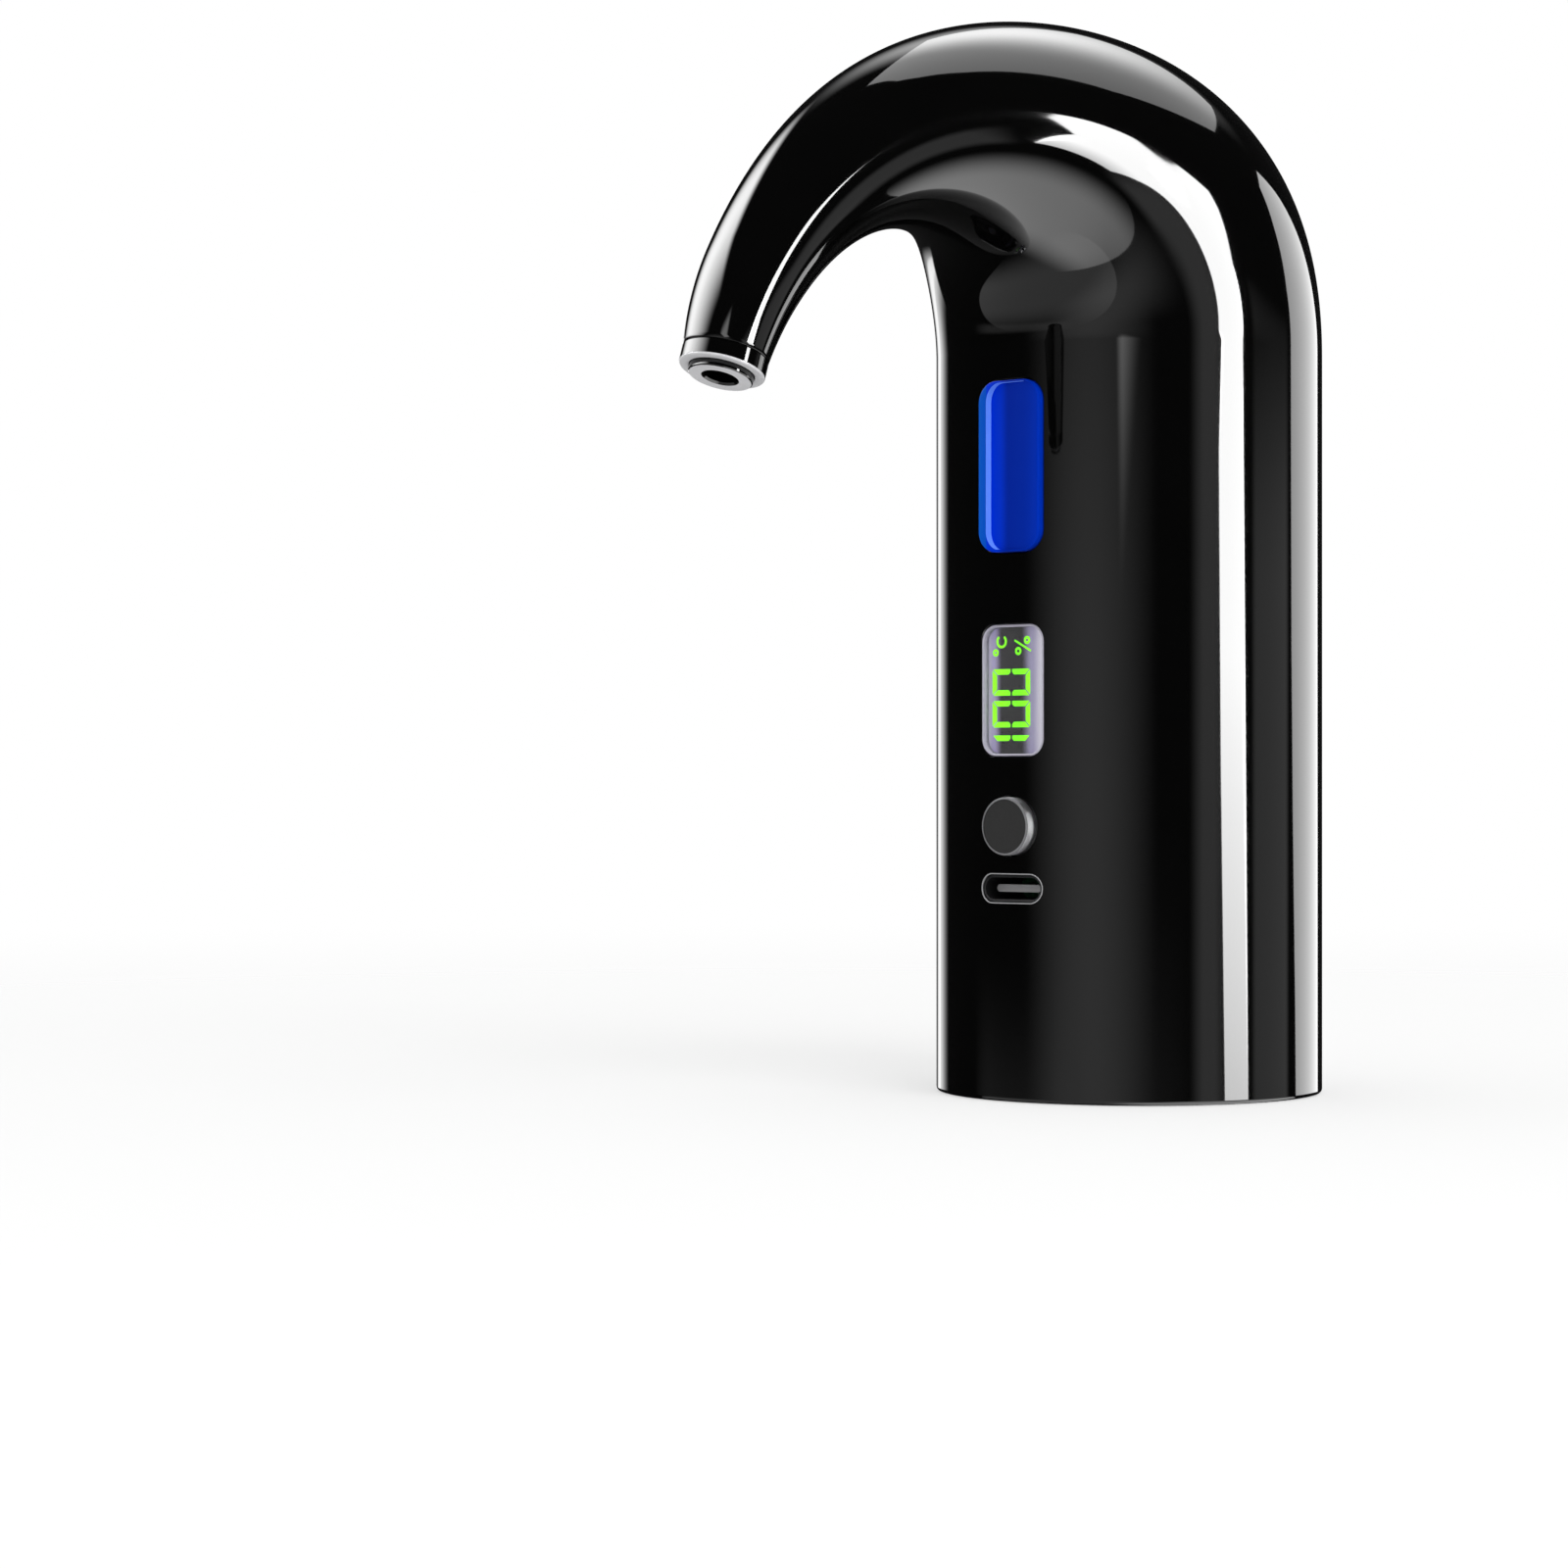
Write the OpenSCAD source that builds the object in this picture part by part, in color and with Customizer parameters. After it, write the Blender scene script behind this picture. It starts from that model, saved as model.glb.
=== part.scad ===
// Electric drink dispenser that stands on a bottle neck: a cane-shaped body with a curved spout, an air pump,
// a telescopic dip tube, two buttons, a display and a charging socket.
// +Z is up, the spout and the controls face -Y, and the origin is the centre of the bottom rim. Millimetres.

/* [Body] */
// Outside diameter of the body
body_d = 48; // [47:0.5:52]
// Height at which the straight body turns into the arch
arch_z = 91.3; // [91:0.1:97]
// Wall of the housing halves
wall = 2; // [1.8:0.1:2.2]
// Diameter of the screw bosses inside the housing halves
boss_d = 6.4; // [6:0.1:6.8]
// Height of the screw bosses
boss_h = 12; // [10:0.5:14]

/* [Arch and spout] */
// Inside radius of the bend between body and arch
crotch_r = 9.4; // [9:0.1:12]
// Inside radius over the top of the arch
arch_r = 29.5; // [27:0.1:33]
// Inside radius of the falling part of the spout
spout_r = 51; // [44:0.5:58]
// Inside radius of the small bend at the nozzle
tip_r = 4; // [3:0.1:6]
// Turn at which the first bend opens into the arch, in degrees
crotch_turn = 66; // [62:1:70]
// Turn at which the arch straightens into the spout, in degrees
arch_turn = 140; // [134:1:144]
// Turn at which the spout bends to the nozzle, in degrees
spout_turn = 151; // [148:1:154]
// Whole turn of the arch, in degrees
full_turn = 161; // [156:1:164]
// Spread of the change from one radius to the next, in degrees of turn
arch_blend = 9; // [7:0.5:10]
// Spread of the change at the nozzle, in degrees of turn
tip_blend = 3; // [2:0.5:4]
// Turn at which the arch has thinned half way, in degrees
taper_turn = 80.4; // [79:0.1:86]
// How suddenly the arch thins around that turn
taper_power = 2.78; // [2.6:0.02:2.84]
// Radius that the taper tends to
taper_end_r = 2.1; // [2:0.1:2.6]
// Wall of the housing at the tip of the spout
tip_wall = 1.2; // [1:0.1:1.3]

/* [Nozzle] */
// Height of the ring at the end of the spout
nozzle_h = 2; // [1.6:0.1:3]
// Wall of the nozzle ring
nozzle_wall = 0.95; // [0.8:0.05:1.1]
// How far the outlet stands out of the ring
outlet_proud = 1.1; // [0.6:0.1:1.6]
// Thickness of the shoulder in the ring that the outlet sits on
outlet_seat = 0.5; // [0.4:0.1:0.8]
// Length of the socket behind the outlet's head
outlet_socket_len = 3.6; // [2.6:0.1:4]
// Wall of that socket
outlet_socket_wall = 0.45; // [0.4:0.05:0.5]

/* [Bottle socket] */
// Depth from the rim to the bulkhead
socket_depth = 18.5; // [17.5:0.1:19.5]
// Wall of the collar that lines the socket
collar_wall = 1; // [0.8:0.1:1.2]
// Thickness of the bulkhead
bulkhead_t = 3; // [2.6:0.1:3.2]
// Outside diameter of the spigot that carries the stopper
spigot_d = 14; // [13.6:0.1:14.6]
// Bore of that spigot, through which the air goes down around the tube
spigot_bore_d = 11; // [10.4:0.1:11.4]
// Height of the lower end of the spigot above the rim
spigot_z = 3; // [2.4:0.1:5]
// How far the stopper reaches below the spigot
stopper_under = 1; // [0.5:0.1:1.5]
// Diameter of the stopper's plain end
stopper_d = 18.2; // [17.6:0.1:19]
// How far the stopper's ribs stand out
stopper_rib = 0.5; // [0.3:0.1:0.8]
// Number of ribs
stopper_ribs = 3; // [2:1:3]
// Length of the stopper's plain end
stopper_land = 5; // [4:0.1:6]
// Diameter of the stopper's flange, which seals on the bottle's lip
stopper_flange_d = 30; // [28:0.5:30.5]
// Thickness of the flange
stopper_flange_t = 2; // [1.5:0.1:2.5]

/* [Dip tube] */
// Outside diameter of the fixed tube
tube_d = 8.8; // [8.4:0.1:9]
// Wall of every tube
tube_wall = 0.45; // [0.4:0.05:0.5]
// Radial running gap between a tube and the next
tube_gap = 0.1; // [0.08:0.01:0.1]
// Height of the fixed tube's lower end above the rim
tube_z = 4; // [3.6:0.1:6]
// Step from one tube's lower end to the next
tube_step = 0.4; // [0.3:0.1:0.5]
// Length of the sliding tubes
stage_len = 74; // [66:0.5:75]
// Gap between the strainer foot and the tube above it
foot_gap = 0.4; // [0.3:0.1:0.6]
// Thickness of the strainer foot on the last tube
foot_h = 1.8; // [1.4:0.1:2]
// Diameter of the strainer foot
foot_d = 6.4; // [6:0.1:7]
// Length of the fixed tube inside the fitting on its top
cap_seat = 2.5; // [2:0.1:3]
// Wire diameter of the seal around the fixed tube
seal_wire_d = 1.5; // [1.3:0.1:1.7]
// Height of the gland above the bulkhead
gland_h = 4; // [3.4:0.1:5]
// Wall of the gland and of the fitting on top of the tube
gland_wall = 1.1; // [0.9:0.1:1.3]

/* [Pour button] */
// Height of the middle of the pour button
pour_z = 76.6; // [75:0.1:78]
// Width of the pour button
pour_w = 9.2; // [8.6:0.1:10]
// Height of the pour button
pour_h = 20.7; // [18:0.1:22]
// Corner radius of the pour button
pour_corner = 2.6; // [2:0.1:3.5]
// How far the pour button stands proud of the body
pour_proud = 1; // [0.9:0.1:1.6]
// Bevel on the front edge of the pour button
pour_bevel = 0.6; // [0.3:0.1:0.8]
// Travel of the pour button
pour_travel = 0.8; // [0.4:0.1:0.9]

/* [Mode button] */
// Height of the middle of the mode button
mode_z = 33.2; // [33:0.1:34.5]
// Diameter of the mode button
mode_d = 7; // [6:0.1:7.4]
// How far the mode button stands proud of the body
mode_proud = 1.5; // [0.9:0.1:2]
// Chamfer on the front edge of the mode button
mode_chamfer = 0.5; // [0.2:0.1:0.8]
// Travel of the mode button
mode_travel = 0.6; // [0.3:0.1:0.8]

/* [Display] */
// Height of the middle of the display window
display_z = 49.6; // [48.6:0.1:52]
// Width of the display window
display_w = 9.4; // [8.6:0.1:10]
// Height of the display window
display_h = 15.9; // [14:0.1:17]
// Corner radius of the display window
display_corner = 1.2; // [0.6:0.1:2]
// How far the lens lies below the front of the body
lens_recess = 0.6; // [0.2:0.1:0.8]
// Thickness of the display panel
panel_t = 1.5; // [1.2:0.1:1.8]

/* [Charging socket] */
// Height of the middle of the charging socket
usb_z = 25.7; // [25.4:0.1:26.2]
// Width of the socket's metal shell
usb_w = 8.94; // [8.8:0.01:9.1]
// Height of the socket's metal shell
usb_h = 3.26; // [3.2:0.01:3.4]
// Metal thickness of the shell
usb_t = 0.3; // [0.2:0.05:0.4]
// How far the shell lies below the front of the body
usb_recess = 0.6; // [0.5:0.1:1]
// Width of the tongue inside the socket
tongue_w = 6.7; // [6.4:0.1:7]
// Thickness of the tongue
tongue_t = 0.7; // [0.6:0.05:0.8]
// Thickness of the socket's back
usb_back_t = 1; // [0.8:0.1:1.2]
// How far the tongue lies behind the shell's mouth
tongue_recess = 1.2; // [0.8:0.1:2]

/* [Circuit board] */
// Width of the board
board_w = 27; // [25.5:0.1:27.5]
// Thickness of the board
board_t = 1.2; // [1:0.1:1.6]
// Length of the board above the middle of the pour button
board_over = 7; // [5:0.5:8]
// Height of the lower board screws above the lower deck
board_screw_low = 4; // [3:0.5:6]
// Depth of the upper board screws below the upper deck
board_screw_high = 6; // [4:0.5:8]
// Side of the square switch bodies
switch_w = 6; // [5.6:0.1:6.2]
// Height of the switch bodies
switch_h = 2.4; // [2:0.1:2.5]
// Diameter of the switch plungers
plunger_d = 3.3; // [2.8:0.1:3.6]
// Height of the parts on the back of the board
part_h = 1.6; // [1.2:0.1:2]

/* [Battery] */
// Diameter of the cell
battery_d = 14; // [13.5:0.1:14.4]
// Length of the cell
battery_len = 49; // [46:0.5:50]
// Thickness of the pad under the cell
battery_pad_t = 1.5; // [1:0.1:2]

/* [Pump and motor] */
// Diameter of the pump
pump_d = 15; // [14:0.1:15.2]
// Thickness of the rubber pad under the pump
pump_pad_t = 2; // [1.5:0.1:2.5]
// Height of the pump head
head_h = 10; // [9:0.1:11]
// Height of the air outlet above the foot of the pump head
outlet_rise = 6; // [5:0.1:6.5]
// Wall of the pump head and pump case
head_wall = 1.2; // [1:0.1:1.4]
// Thickness of the valve plate
valve_plate_t = 1.6; // [1.2:0.1:2]
// Thickness of the diaphragm
diaphragm_t = 1.2; // [1:0.1:1.5]
// Height of the pump case
case_h = 11; // [10.5:0.1:12]
// Diameter of the motor can
motor_d = 14; // [13:0.1:14.2]
// Length of the motor can
motor_len = 25; // [23:0.5:26]
// Metal thickness of the motor can
can_t = 0.6; // [0.5:0.1:0.7]
// Thickness of the motor's end cap
endcap_t = 2; // [1.5:0.1:2.5]
// Diameter of the motor shaft
shaft_d = 2; // [1.8:0.1:2.1]
// Radial running gap of the shaft in its two bearings
shaft_gap = 0.05; // [0.03:0.01:0.08]
// Thickness of the magnets
magnet_t = 1.4; // [1.1:0.1:1.5]
// Air gap between the magnets and the rotor
rotor_gap = 0.4; // [0.35:0.05:0.6]
// Length of the rotor
rotor_len = 15; // [13:0.5:16]
// Throw of the drive pin
crank_throw = 1; // [0.8:0.1:1.1]
// Diameter of the drive pin
crank_pin_d = 1.6; // [1.4:0.1:1.7]
// Wall of the rubber sleeve around the motor
sleeve_t = 0.6; // [0.5:0.1:0.7]
// Height of the rubber sleeve
sleeve_h = 9; // [8:0.5:11]

/* [Chassis] */
// Thickness of the two decks
deck_t = 3; // [2.6:0.1:3.2]
// Room between the cell or the motor and the upper deck
deck_room = 2.2; // [2:0.1:2.8]
// Thickness of the rib between battery and pump
rib_t = 1.6; // [1.4:0.1:1.8]
// Distance of that rib to the battery's side of the middle
rib_offset = 0.6; // [0.4:0.1:0.8]
// Wall of the cradles around battery and motor
cradle_t = 1.4; // [1.2:0.1:1.5]
// Height of a cradle
cradle_h = 5; // [4:0.5:6]
// Width of the posts that carry the board
post_w = 4; // [3.6:0.1:4.2]
// Depth of the posts
post_depth = 3.6; // [3.2:0.1:4]

/* [Hoses and leads] */
// Outside diameter of the pour hose
pour_hose_d = 5.5; // [5.2:0.1:5.6]
// Bore of the pour hose
pour_hose_bore = 3.8; // [3.4:0.1:3.9]
// Outside diameter of the air hose
air_hose_d = 4; // [3.6:0.1:4.2]
// Bore of the air hose
air_hose_bore = 2.2; // [2:0.1:2.4]
// Bend radius of the air hose
air_hose_bend = 6; // [5.5:0.1:6.4]
// Distance of the air spigot in front of the middle
air_spigot_y = 8; // [7.6:0.1:8.6]
// Length of the air spigots
air_spigot_len = 4.2; // [3.6:0.1:4.4]
// Diameter of the battery and motor leads
lead_d = 1.1; // [0.9:0.1:1.3]

/* [Fasteners] */
// Thread diameter of the base and chassis screws
screw_d = 2; // [1.8:0.1:2.1]
// Head diameter of those screws
screw_head_d = 3.4; // [3.2:0.1:3.5]
// Head height of those screws
screw_head_h = 1.4; // [1.2:0.1:1.6]
// Thread length of the base screws above the bulkhead
base_screw_grip = 8; // [6:0.5:9]
// Thread diameter of the board screws
board_screw_d = 1.5; // [1.3:0.1:1.6]
// Head diameter of the board screws
board_screw_head_d = 2.8; // [2.6:0.1:3]
// Head height of the board screws
board_screw_head_h = 0.9; // [0.7:0.1:1]
// Thread length of the board screws in the posts
board_screw_grip = 3; // [2.4:0.1:3]

/* [Fits] */
// Clearance between fixed pieces that fit together
fit_gap = 0.1; // [0.05:0.01:0.15]
// Clearance between the inner frame and the housing
frame_gap = 0.4; // [0.3:0.05:0.5]
// Clearance around a button that moves
button_gap = 0.2; // [0.15:0.01:0.25]
// Width of the lip that holds a button or the lens behind the wall
lip_w = 1; // [0.8:0.1:1.2]
// Thickness of that lip
lip_t = 0.8; // [0.6:0.1:0.9]

/* [Hidden] */

$fn = 64;
// Extra depth of a cut past the face that it opens
over = 1;
// Rings along the arch, and steps around half of it
arch_rings = 44;
arch_steps = 20;
// Sides of the hoses and of the thin leads
hose_sides = 12;
lead_sides = 8;

gloss_black = "#0c0c0e";
inner_black = "#222326";
pale_grey = "#c9cacb";
silver = "#b9bcc0";
rubber_grey = "#55585c";
clear_white = "#e6eaec";
board_green = "#1f5a35";
copper = "#a8642c";
brass_yellow = "#b8973f";

body_r = body_d / 2;
inner_r = body_r - wall;
frame_r = inner_r - frame_gap;
collar_r = inner_r - fit_gap;
bulkhead_top = socket_depth + bulkhead_t;
deck_top = bulkhead_top + deck_t;

// Places around the axis: battery on the left, pump on the right, each against the rib and the wall.
battery_r = battery_d / 2;
sleeve_r = motor_d / 2 + sleeve_t;
pump_r = pump_d / 2;
rib_x = -rib_offset;
battery_x = rib_x - rib_t / 2 - frame_gap - battery_r;
battery_y = sqrt(pow(frame_r - battery_r, 2) - pow(battery_x, 2));
pump_x = rib_x + rib_t / 2 + frame_gap + max(sleeve_r, pump_r);
pump_y = sqrt(pow(frame_r - max(sleeve_r, pump_r), 2) - pow(pump_x, 2));

// Heights of the battery and of the pump's stack, from the lower deck up.
battery_z = deck_top + battery_pad_t;
battery_nub_h = 0.8;
battery_top = battery_z + battery_len + battery_nub_h;
head_z = deck_top + pump_pad_t;
diaphragm_z = head_z + head_h;
case_z = diaphragm_z + diaphragm_t;
motor_z = case_z + case_h;
endcap_z = motor_z + motor_len;
upper_deck_z = max(battery_top, endcap_z + endcap_t) + deck_room;
upper_deck_top = upper_deck_z + deck_t;
outlet_z = head_z + outlet_rise;
floor_t = 2;
pad_inset = 1;
battery_nub_d = 5.6;

// Valves, drive pin, magnets and rotor of the pump
valve_plate_z = diaphragm_z - valve_plate_t;
valve_x = 3.15;
valve_d = 3.6;
valve_stem_d = 1;
valve_hole_d = 0.7;
valve_hole_r = 1.15;
crank_disc_z = case_z + 5;
crank_disc_h = 2.5;
crank_disc_r = pump_r - head_wall - 2;
crank_floor = 0.5;
crank_pin_z = case_z + 0.3;
crank_sweep_r = crank_throw + crank_pin_d / 2;
magnet_turn = 130;
magnet_r = motor_d / 2 - can_t - fit_gap;
rotor_z = motor_z + (motor_len - rotor_len) / 2;
rotor_r = magnet_r - magnet_t - rotor_gap;
rotor_core_r = 2;
rotor_slot_w = 1;
rotor_poles = 3;
endcap_skin = 0.3;
shaft_top = endcap_z + endcap_t - endcap_skin - fit_gap;

// The board stands where its corners clear the wall. Distances in front of the axis.
board_front = sqrt(pow(frame_r - frame_gap, 2) - pow(board_w / 2, 2));
board_back = board_front - board_t;
board_z = bulkhead_top + frame_gap;
board_top = pour_z + board_over;
switch_floor = 0.4;
post_x = board_w / 2 - post_w / 2;
board_screw_zs = [deck_top + board_screw_low, upper_deck_z - board_screw_high];
// Distance in front of the axis of the inner wall, half a width away from the middle.
function wall_front(half) = sqrt(pow(inner_r, 2) - pow(half, 2));
pour_lip_front = wall_front(pour_w / 2 + lip_w) - button_gap;
pour_lip_back = pour_lip_front - lip_t;
mode_lip_front = wall_front(mode_d / 2 + lip_w) - button_gap;
mode_lip_back = mode_lip_front - lip_t;
lens_lip_front = wall_front(display_w / 2 + lip_w) - fit_gap;
lens_lip_back = lens_lip_front - lip_t;

// The fixed tube and its fitting
tube_r = tube_d / 2;
tube_top = upper_deck_top + cap_seat;
cap_plate_t = 1.4;
cap_shoulder = tube_top + cap_plate_t;
cap_barb_len = arch_z - cap_shoulder;
cap_barb_wall = 0.5;
gland_r = tube_r + fit_gap + seal_wire_d + gland_wall;
function stage_r(i) = tube_r - i * (tube_wall + tube_gap);
function stage_z(i) = tube_z - i * tube_step;
foot_z = stage_z(3) - foot_gap - foot_h;
foot_slot_w = 0.8;
gland_floor = 1;
seal_gap = 0.03;
// Bore of the air passage in the bulkhead, and the height of its cross bore
air_d = 1;
air_z = socket_depth + 1.2;
air_pocket = 0.2;

// Screws
boss_x = collar_r - collar_wall - screw_head_d / 2 - fit_gap;
chassis_screw_r = stopper_flange_d / 2 + screw_head_d / 2 + frame_gap;
chassis_screw_turns = [90, 215, 325];
screw_end_gap = 0.2;
deck_skin = 0.3;
// Places of the two battery clips, as shares of the cell's length
cradle_shares = [0.2, 0.7];

// The arch. Its inside curve lies in the plane x = 0 and turns over with a radius that eases from one value
// to the next. Round sections stand on the curve, square to it. Distances u run forward from the axis.
curve_steps = 4 * arch_rings;
turn_step = full_turn / curve_steps;
function eased(turn, at, spread) = 1 / (1 + exp((at - turn) / spread));
function inside_r(turn) = crotch_r + (arch_r - crotch_r) * eased(turn, crotch_turn, arch_blend)
    + (spout_r - arch_r) * eased(turn, arch_turn, arch_blend)
    + (tip_r - spout_r) * eased(turn, spout_turn, tip_blend);
function curve_move(turn) = inside_r(turn) * turn_step * PI / 180 * [sin(turn), cos(turn)];
inside_curve = [for (k = 0, p = [body_r, arch_z]; k <= curve_steps; p = p + curve_move((k + 0.5) * turn_step),
    k = k + 1) p];
// Radius and wall of the arch at a turn, and the middle [u, z] of its section at a step of the curve
function arch_radius(turn) = taper_end_r + (body_r - taper_end_r) / (1 + pow(turn / taper_turn, taper_power));
function arch_wall(turn) = wall + (tip_wall - wall) * turn / full_turn;
function arch_middle(k) = let (turn = k * turn_step)
    inside_curve[k] + arch_radius(turn) * [-cos(turn), sin(turn)];
// Radius of the corners of the arch's many-sided sections: their flats stand a hair outside the true round
arch_ledge = 0.05;
function corner_r(r) = r / cos(90 / arch_steps) + arch_ledge;
// Point of the section at a step of the curve, around from its outer side, at a radius
function arch_point(k, around, r) = let (m = arch_middle(k), turn = k * turn_step)
    [r * sin(around), -m[0] + r * cos(around) * cos(turn), m[1] + r * cos(around) * sin(turn)];
nozzle_r = arch_radius(full_turn);
tip = arch_middle(curve_steps);
outlet_socket_r = pour_hose_d / 2 + fit_gap + outlet_socket_wall;
outlet_head_r = nozzle_r - nozzle_wall - fit_gap;
outlet_face_z = nozzle_h + outlet_proud;

// Routes of the hoses
hose_start = cap_shoulder + fit_gap;
// The hose keeps to the arch's middle up to this ring and then runs straight into the outlet
hose_end_ring = 37;
hose_seat = 0.6;
hose_end = hose_seat + 2 * fit_gap;
hose_straight = outlet_socket_len + 0.9;
pour_route = concat(
    [[0, 0, hose_start], [0, 0, (hose_start + arch_z) / 2]],
    [for (k = [0 : hose_end_ring]) let (m = arch_middle(4 * k)) [0, -m[0], m[1]]],
    [for (back = [hose_straight, (hose_straight + hose_end) / 2, hose_end])
        [0, -tip[0] + back * sin(full_turn), tip[1] - back * cos(full_turn)]]);
air_bend_y = -air_spigot_y + air_hose_bend;
air_bend_steps = 6;
air_route = concat(
    [[pump_x, pump_y - pump_r - fit_gap, outlet_z]],
    [for (k = [0 : air_bend_steps]) let (a = 90 * k / air_bend_steps)
        [pump_x, air_bend_y - air_hose_bend * sin(a), outlet_z - air_hose_bend * (1 - cos(a))]],
    [[pump_x, -air_spigot_y, bulkhead_top + fit_gap]]);

// Parts on the back of the board: middle x, height above the board's lower edge, width and height
board_parts = [[0, 20, 6, 6], [-5, 10, 4, 5], [4.5, 8, 4, 3], [4, 15, 3, 3], [0, 54, 5, 4]];

// Routes of the leads: the cell's two ends and the motor's two tabs, each to a plug on the board's back
plug_x = 6.5;
plug_w = 5;
plug_h = 4;
plug_d = 4;
plug_y = plug_d - board_back;
plug_run = 4;
battery_plug_z = board_z + 40;
motor_plug_z = board_z + 44;
lead_side = 1.2;
lead_gap = 0.15;
lead_r = lead_d / 2;
tab_x = 3;
tab_y = -3;
tab_w = 1.5;
tab_len = 3;
tab_h = 0.5;
battery_side_y = battery_y - battery_r - lead_r - lead_gap;
battery_edge_y = battery_y - battery_r - fit_gap - cradle_t - lead_r - frame_gap;
battery_over_z = battery_top + lead_r + lead_gap;
motor_edge_y = pump_y - sleeve_r - fit_gap - cradle_t - lead_r - frame_gap;
motor_over_z = endcap_z + endcap_t + tab_h + lead_r + lead_gap;
// Last stretch of a lead, straight into its plug
function into_plug(x, z) = [[x, plug_y + plug_run, z], [x, plug_y + lead_gap, z]];
battery_top_route = concat(
    [[battery_x, battery_y, battery_over_z], [battery_x, battery_edge_y + 2, battery_over_z],
    [battery_x, battery_edge_y, battery_top - 2], [battery_x, -1, battery_plug_z + 6]],
    into_plug(-plug_x, battery_plug_z + lead_side));
battery_low_route = concat(
    [[battery_x, battery_side_y, battery_z + 1], [battery_x, battery_side_y, battery_z + 3],
    [battery_x + 1, battery_edge_y, battery_z + 7], [battery_x + 1, battery_edge_y, battery_plug_z - 18],
    [battery_x + 1, -1, battery_plug_z - 8]],
    into_plug(-plug_x, battery_plug_z - lead_side));
function motor_route(side) = concat(
    [[pump_x + tab_x * side, pump_y + tab_y, motor_over_z],
    [pump_x + 2.5 * side, pump_y - motor_d / 2 - 0.5, motor_over_z],
    [pump_x + 2 * side, motor_edge_y, endcap_z - 1], [pump_x - 1 + 1.5 * side, -2, motor_plug_z + 4]],
    into_plug(plug_x + lead_side * side, motor_plug_z));

// Flat outline with round corners
module rounded_rect(w, h, r) {
    square([w - 2 * r, h], center = true);
    square([w, h - 2 * r], center = true);
    for (x = [-1, 1], y = [-1, 1])
        translate([x * (w / 2 - r), y * (h / 2 - r)]) circle(r = r);
}

// Flat outline with fully round ends
module slot_outline(w, h) {
    square([w - h, h], center = true);
    for (x = [-1, 1]) translate([x * (w - h) / 2, 0]) circle(d = h);
}

// Puts a piece that points up on the front, at a height, pointing forward from a distance off the axis
module on_front(z, from) {
    translate([0, -from, z]) rotate([90, 0, 0]) children();
}

// Prism on the front with round corners, between two distances off the axis
module front_prism(z, w, h, r, from, to) {
    on_front(z, from) linear_extrude(to - from) rounded_rect(w, h, r);
}

// Bar on the front with round ends, between two distances off the axis
module front_slot(z, w, h, from, to) {
    on_front(z, from) linear_extrude(to - from) slot_outline(w, h);
}

module ring(r_out, r_in, h) {
    difference() {
        cylinder(r = r_out, h = h);
        translate([0, 0, -over]) cylinder(r = r_in, h = h + 2 * over);
    }
}

// Half of the hollow arch, on the right of the plane x = 0
module arch_half() {
    loop = 2 * (arch_steps + 1);
    function around(i) = 180 * (i <= arch_steps ? i : loop - 1 - i) / arch_steps;
    points = [for (k = [0 : 4 : curve_steps], i = [0 : loop - 1]) let (turn = k * turn_step)
        arch_point(k, around(i), corner_r(arch_radius(turn) - (i <= arch_steps ? 0 : arch_wall(turn))))];
    function at(k, i) = k * loop + i % loop;
    sides = [for (k = [0 : arch_rings - 1], i = [0 : loop - 1], half = [0, 1])
        half == 0 ? [at(k, i), at(k, i + 1), at(k + 1, i + 1)] : [at(k, i), at(k + 1, i + 1), at(k + 1, i)]];
    ends = [for (i = [0 : arch_steps - 1], half = [0, 1]) half == 0
        ? [i, loop - 1 - i, i + 1] : [i + 1, loop - 1 - i, loop - 2 - i]];
    last = arch_rings * loop;
    polyhedron(points = points, faces = concat(sides, ends,
        [for (f = ends) [last + f[0], last + f[2], last + f[1]]]));
}

function unit(v) = v / norm(v);
// Ring of points around a route's point k, square to the route
function route_ring(route, k, r, sides) = let (
    along = unit(route[min(k + 1, len(route) - 1)] - route[max(k - 1, 0)]),
    across = unit(cross([1, 0, 0], along)),
    other = cross(along, across))
    [for (i = [0 : sides - 1]) route[k] + r * (across * cos(360 * i / sides) + other * sin(360 * i / sides))];
// Skin of a tube around a route, as triangles over rings that start at a first point
function skin(rings, sides, first, flip) = [for (k = [0 : rings - 2], i = [0 : sides - 1], half = [0, 1])
    let (a = first + k * sides + i, b = first + k * sides + (i + 1) % sides,
        f = half == 0 ? [a, b + sides, b] : [a, a + sides, b + sides])
    flip ? [f[0], f[2], f[1]] : f];

// Solid lead along a route
module lead(route, d, sides) {
    rings = len(route);
    last = (rings - 1) * sides;
    polyhedron(
        points = [for (k = [0 : rings - 1]) each route_ring(route, k, d / 2, sides)],
        faces = concat(skin(rings, sides, 0, false),
            [for (i = [1 : sides - 2]) [0, i, i + 1]],
            [for (i = [1 : sides - 2]) [last, last + i + 1, last + i]]));
}

// Hose with a bore along a route
module hose(route, d, bore, sides) {
    rings = len(route);
    inside = rings * sides;
    last = (rings - 1) * sides;
    start = [for (i = [0 : sides - 1], half = [0, 1]) let (j = (i + 1) % sides)
        half == 0 ? [i, j, inside + j] : [i, inside + j, inside + i]];
    polyhedron(
        points = concat([for (k = [0 : rings - 1]) each route_ring(route, k, d / 2, sides)],
            [for (k = [0 : rings - 1]) each route_ring(route, k, bore / 2, sides)]),
        faces = concat(skin(rings, sides, 0, false), skin(rings, sides, inside, true), start,
            [for (f = start) [last + f[0], last + f[2], last + f[1]]]));
}

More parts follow.
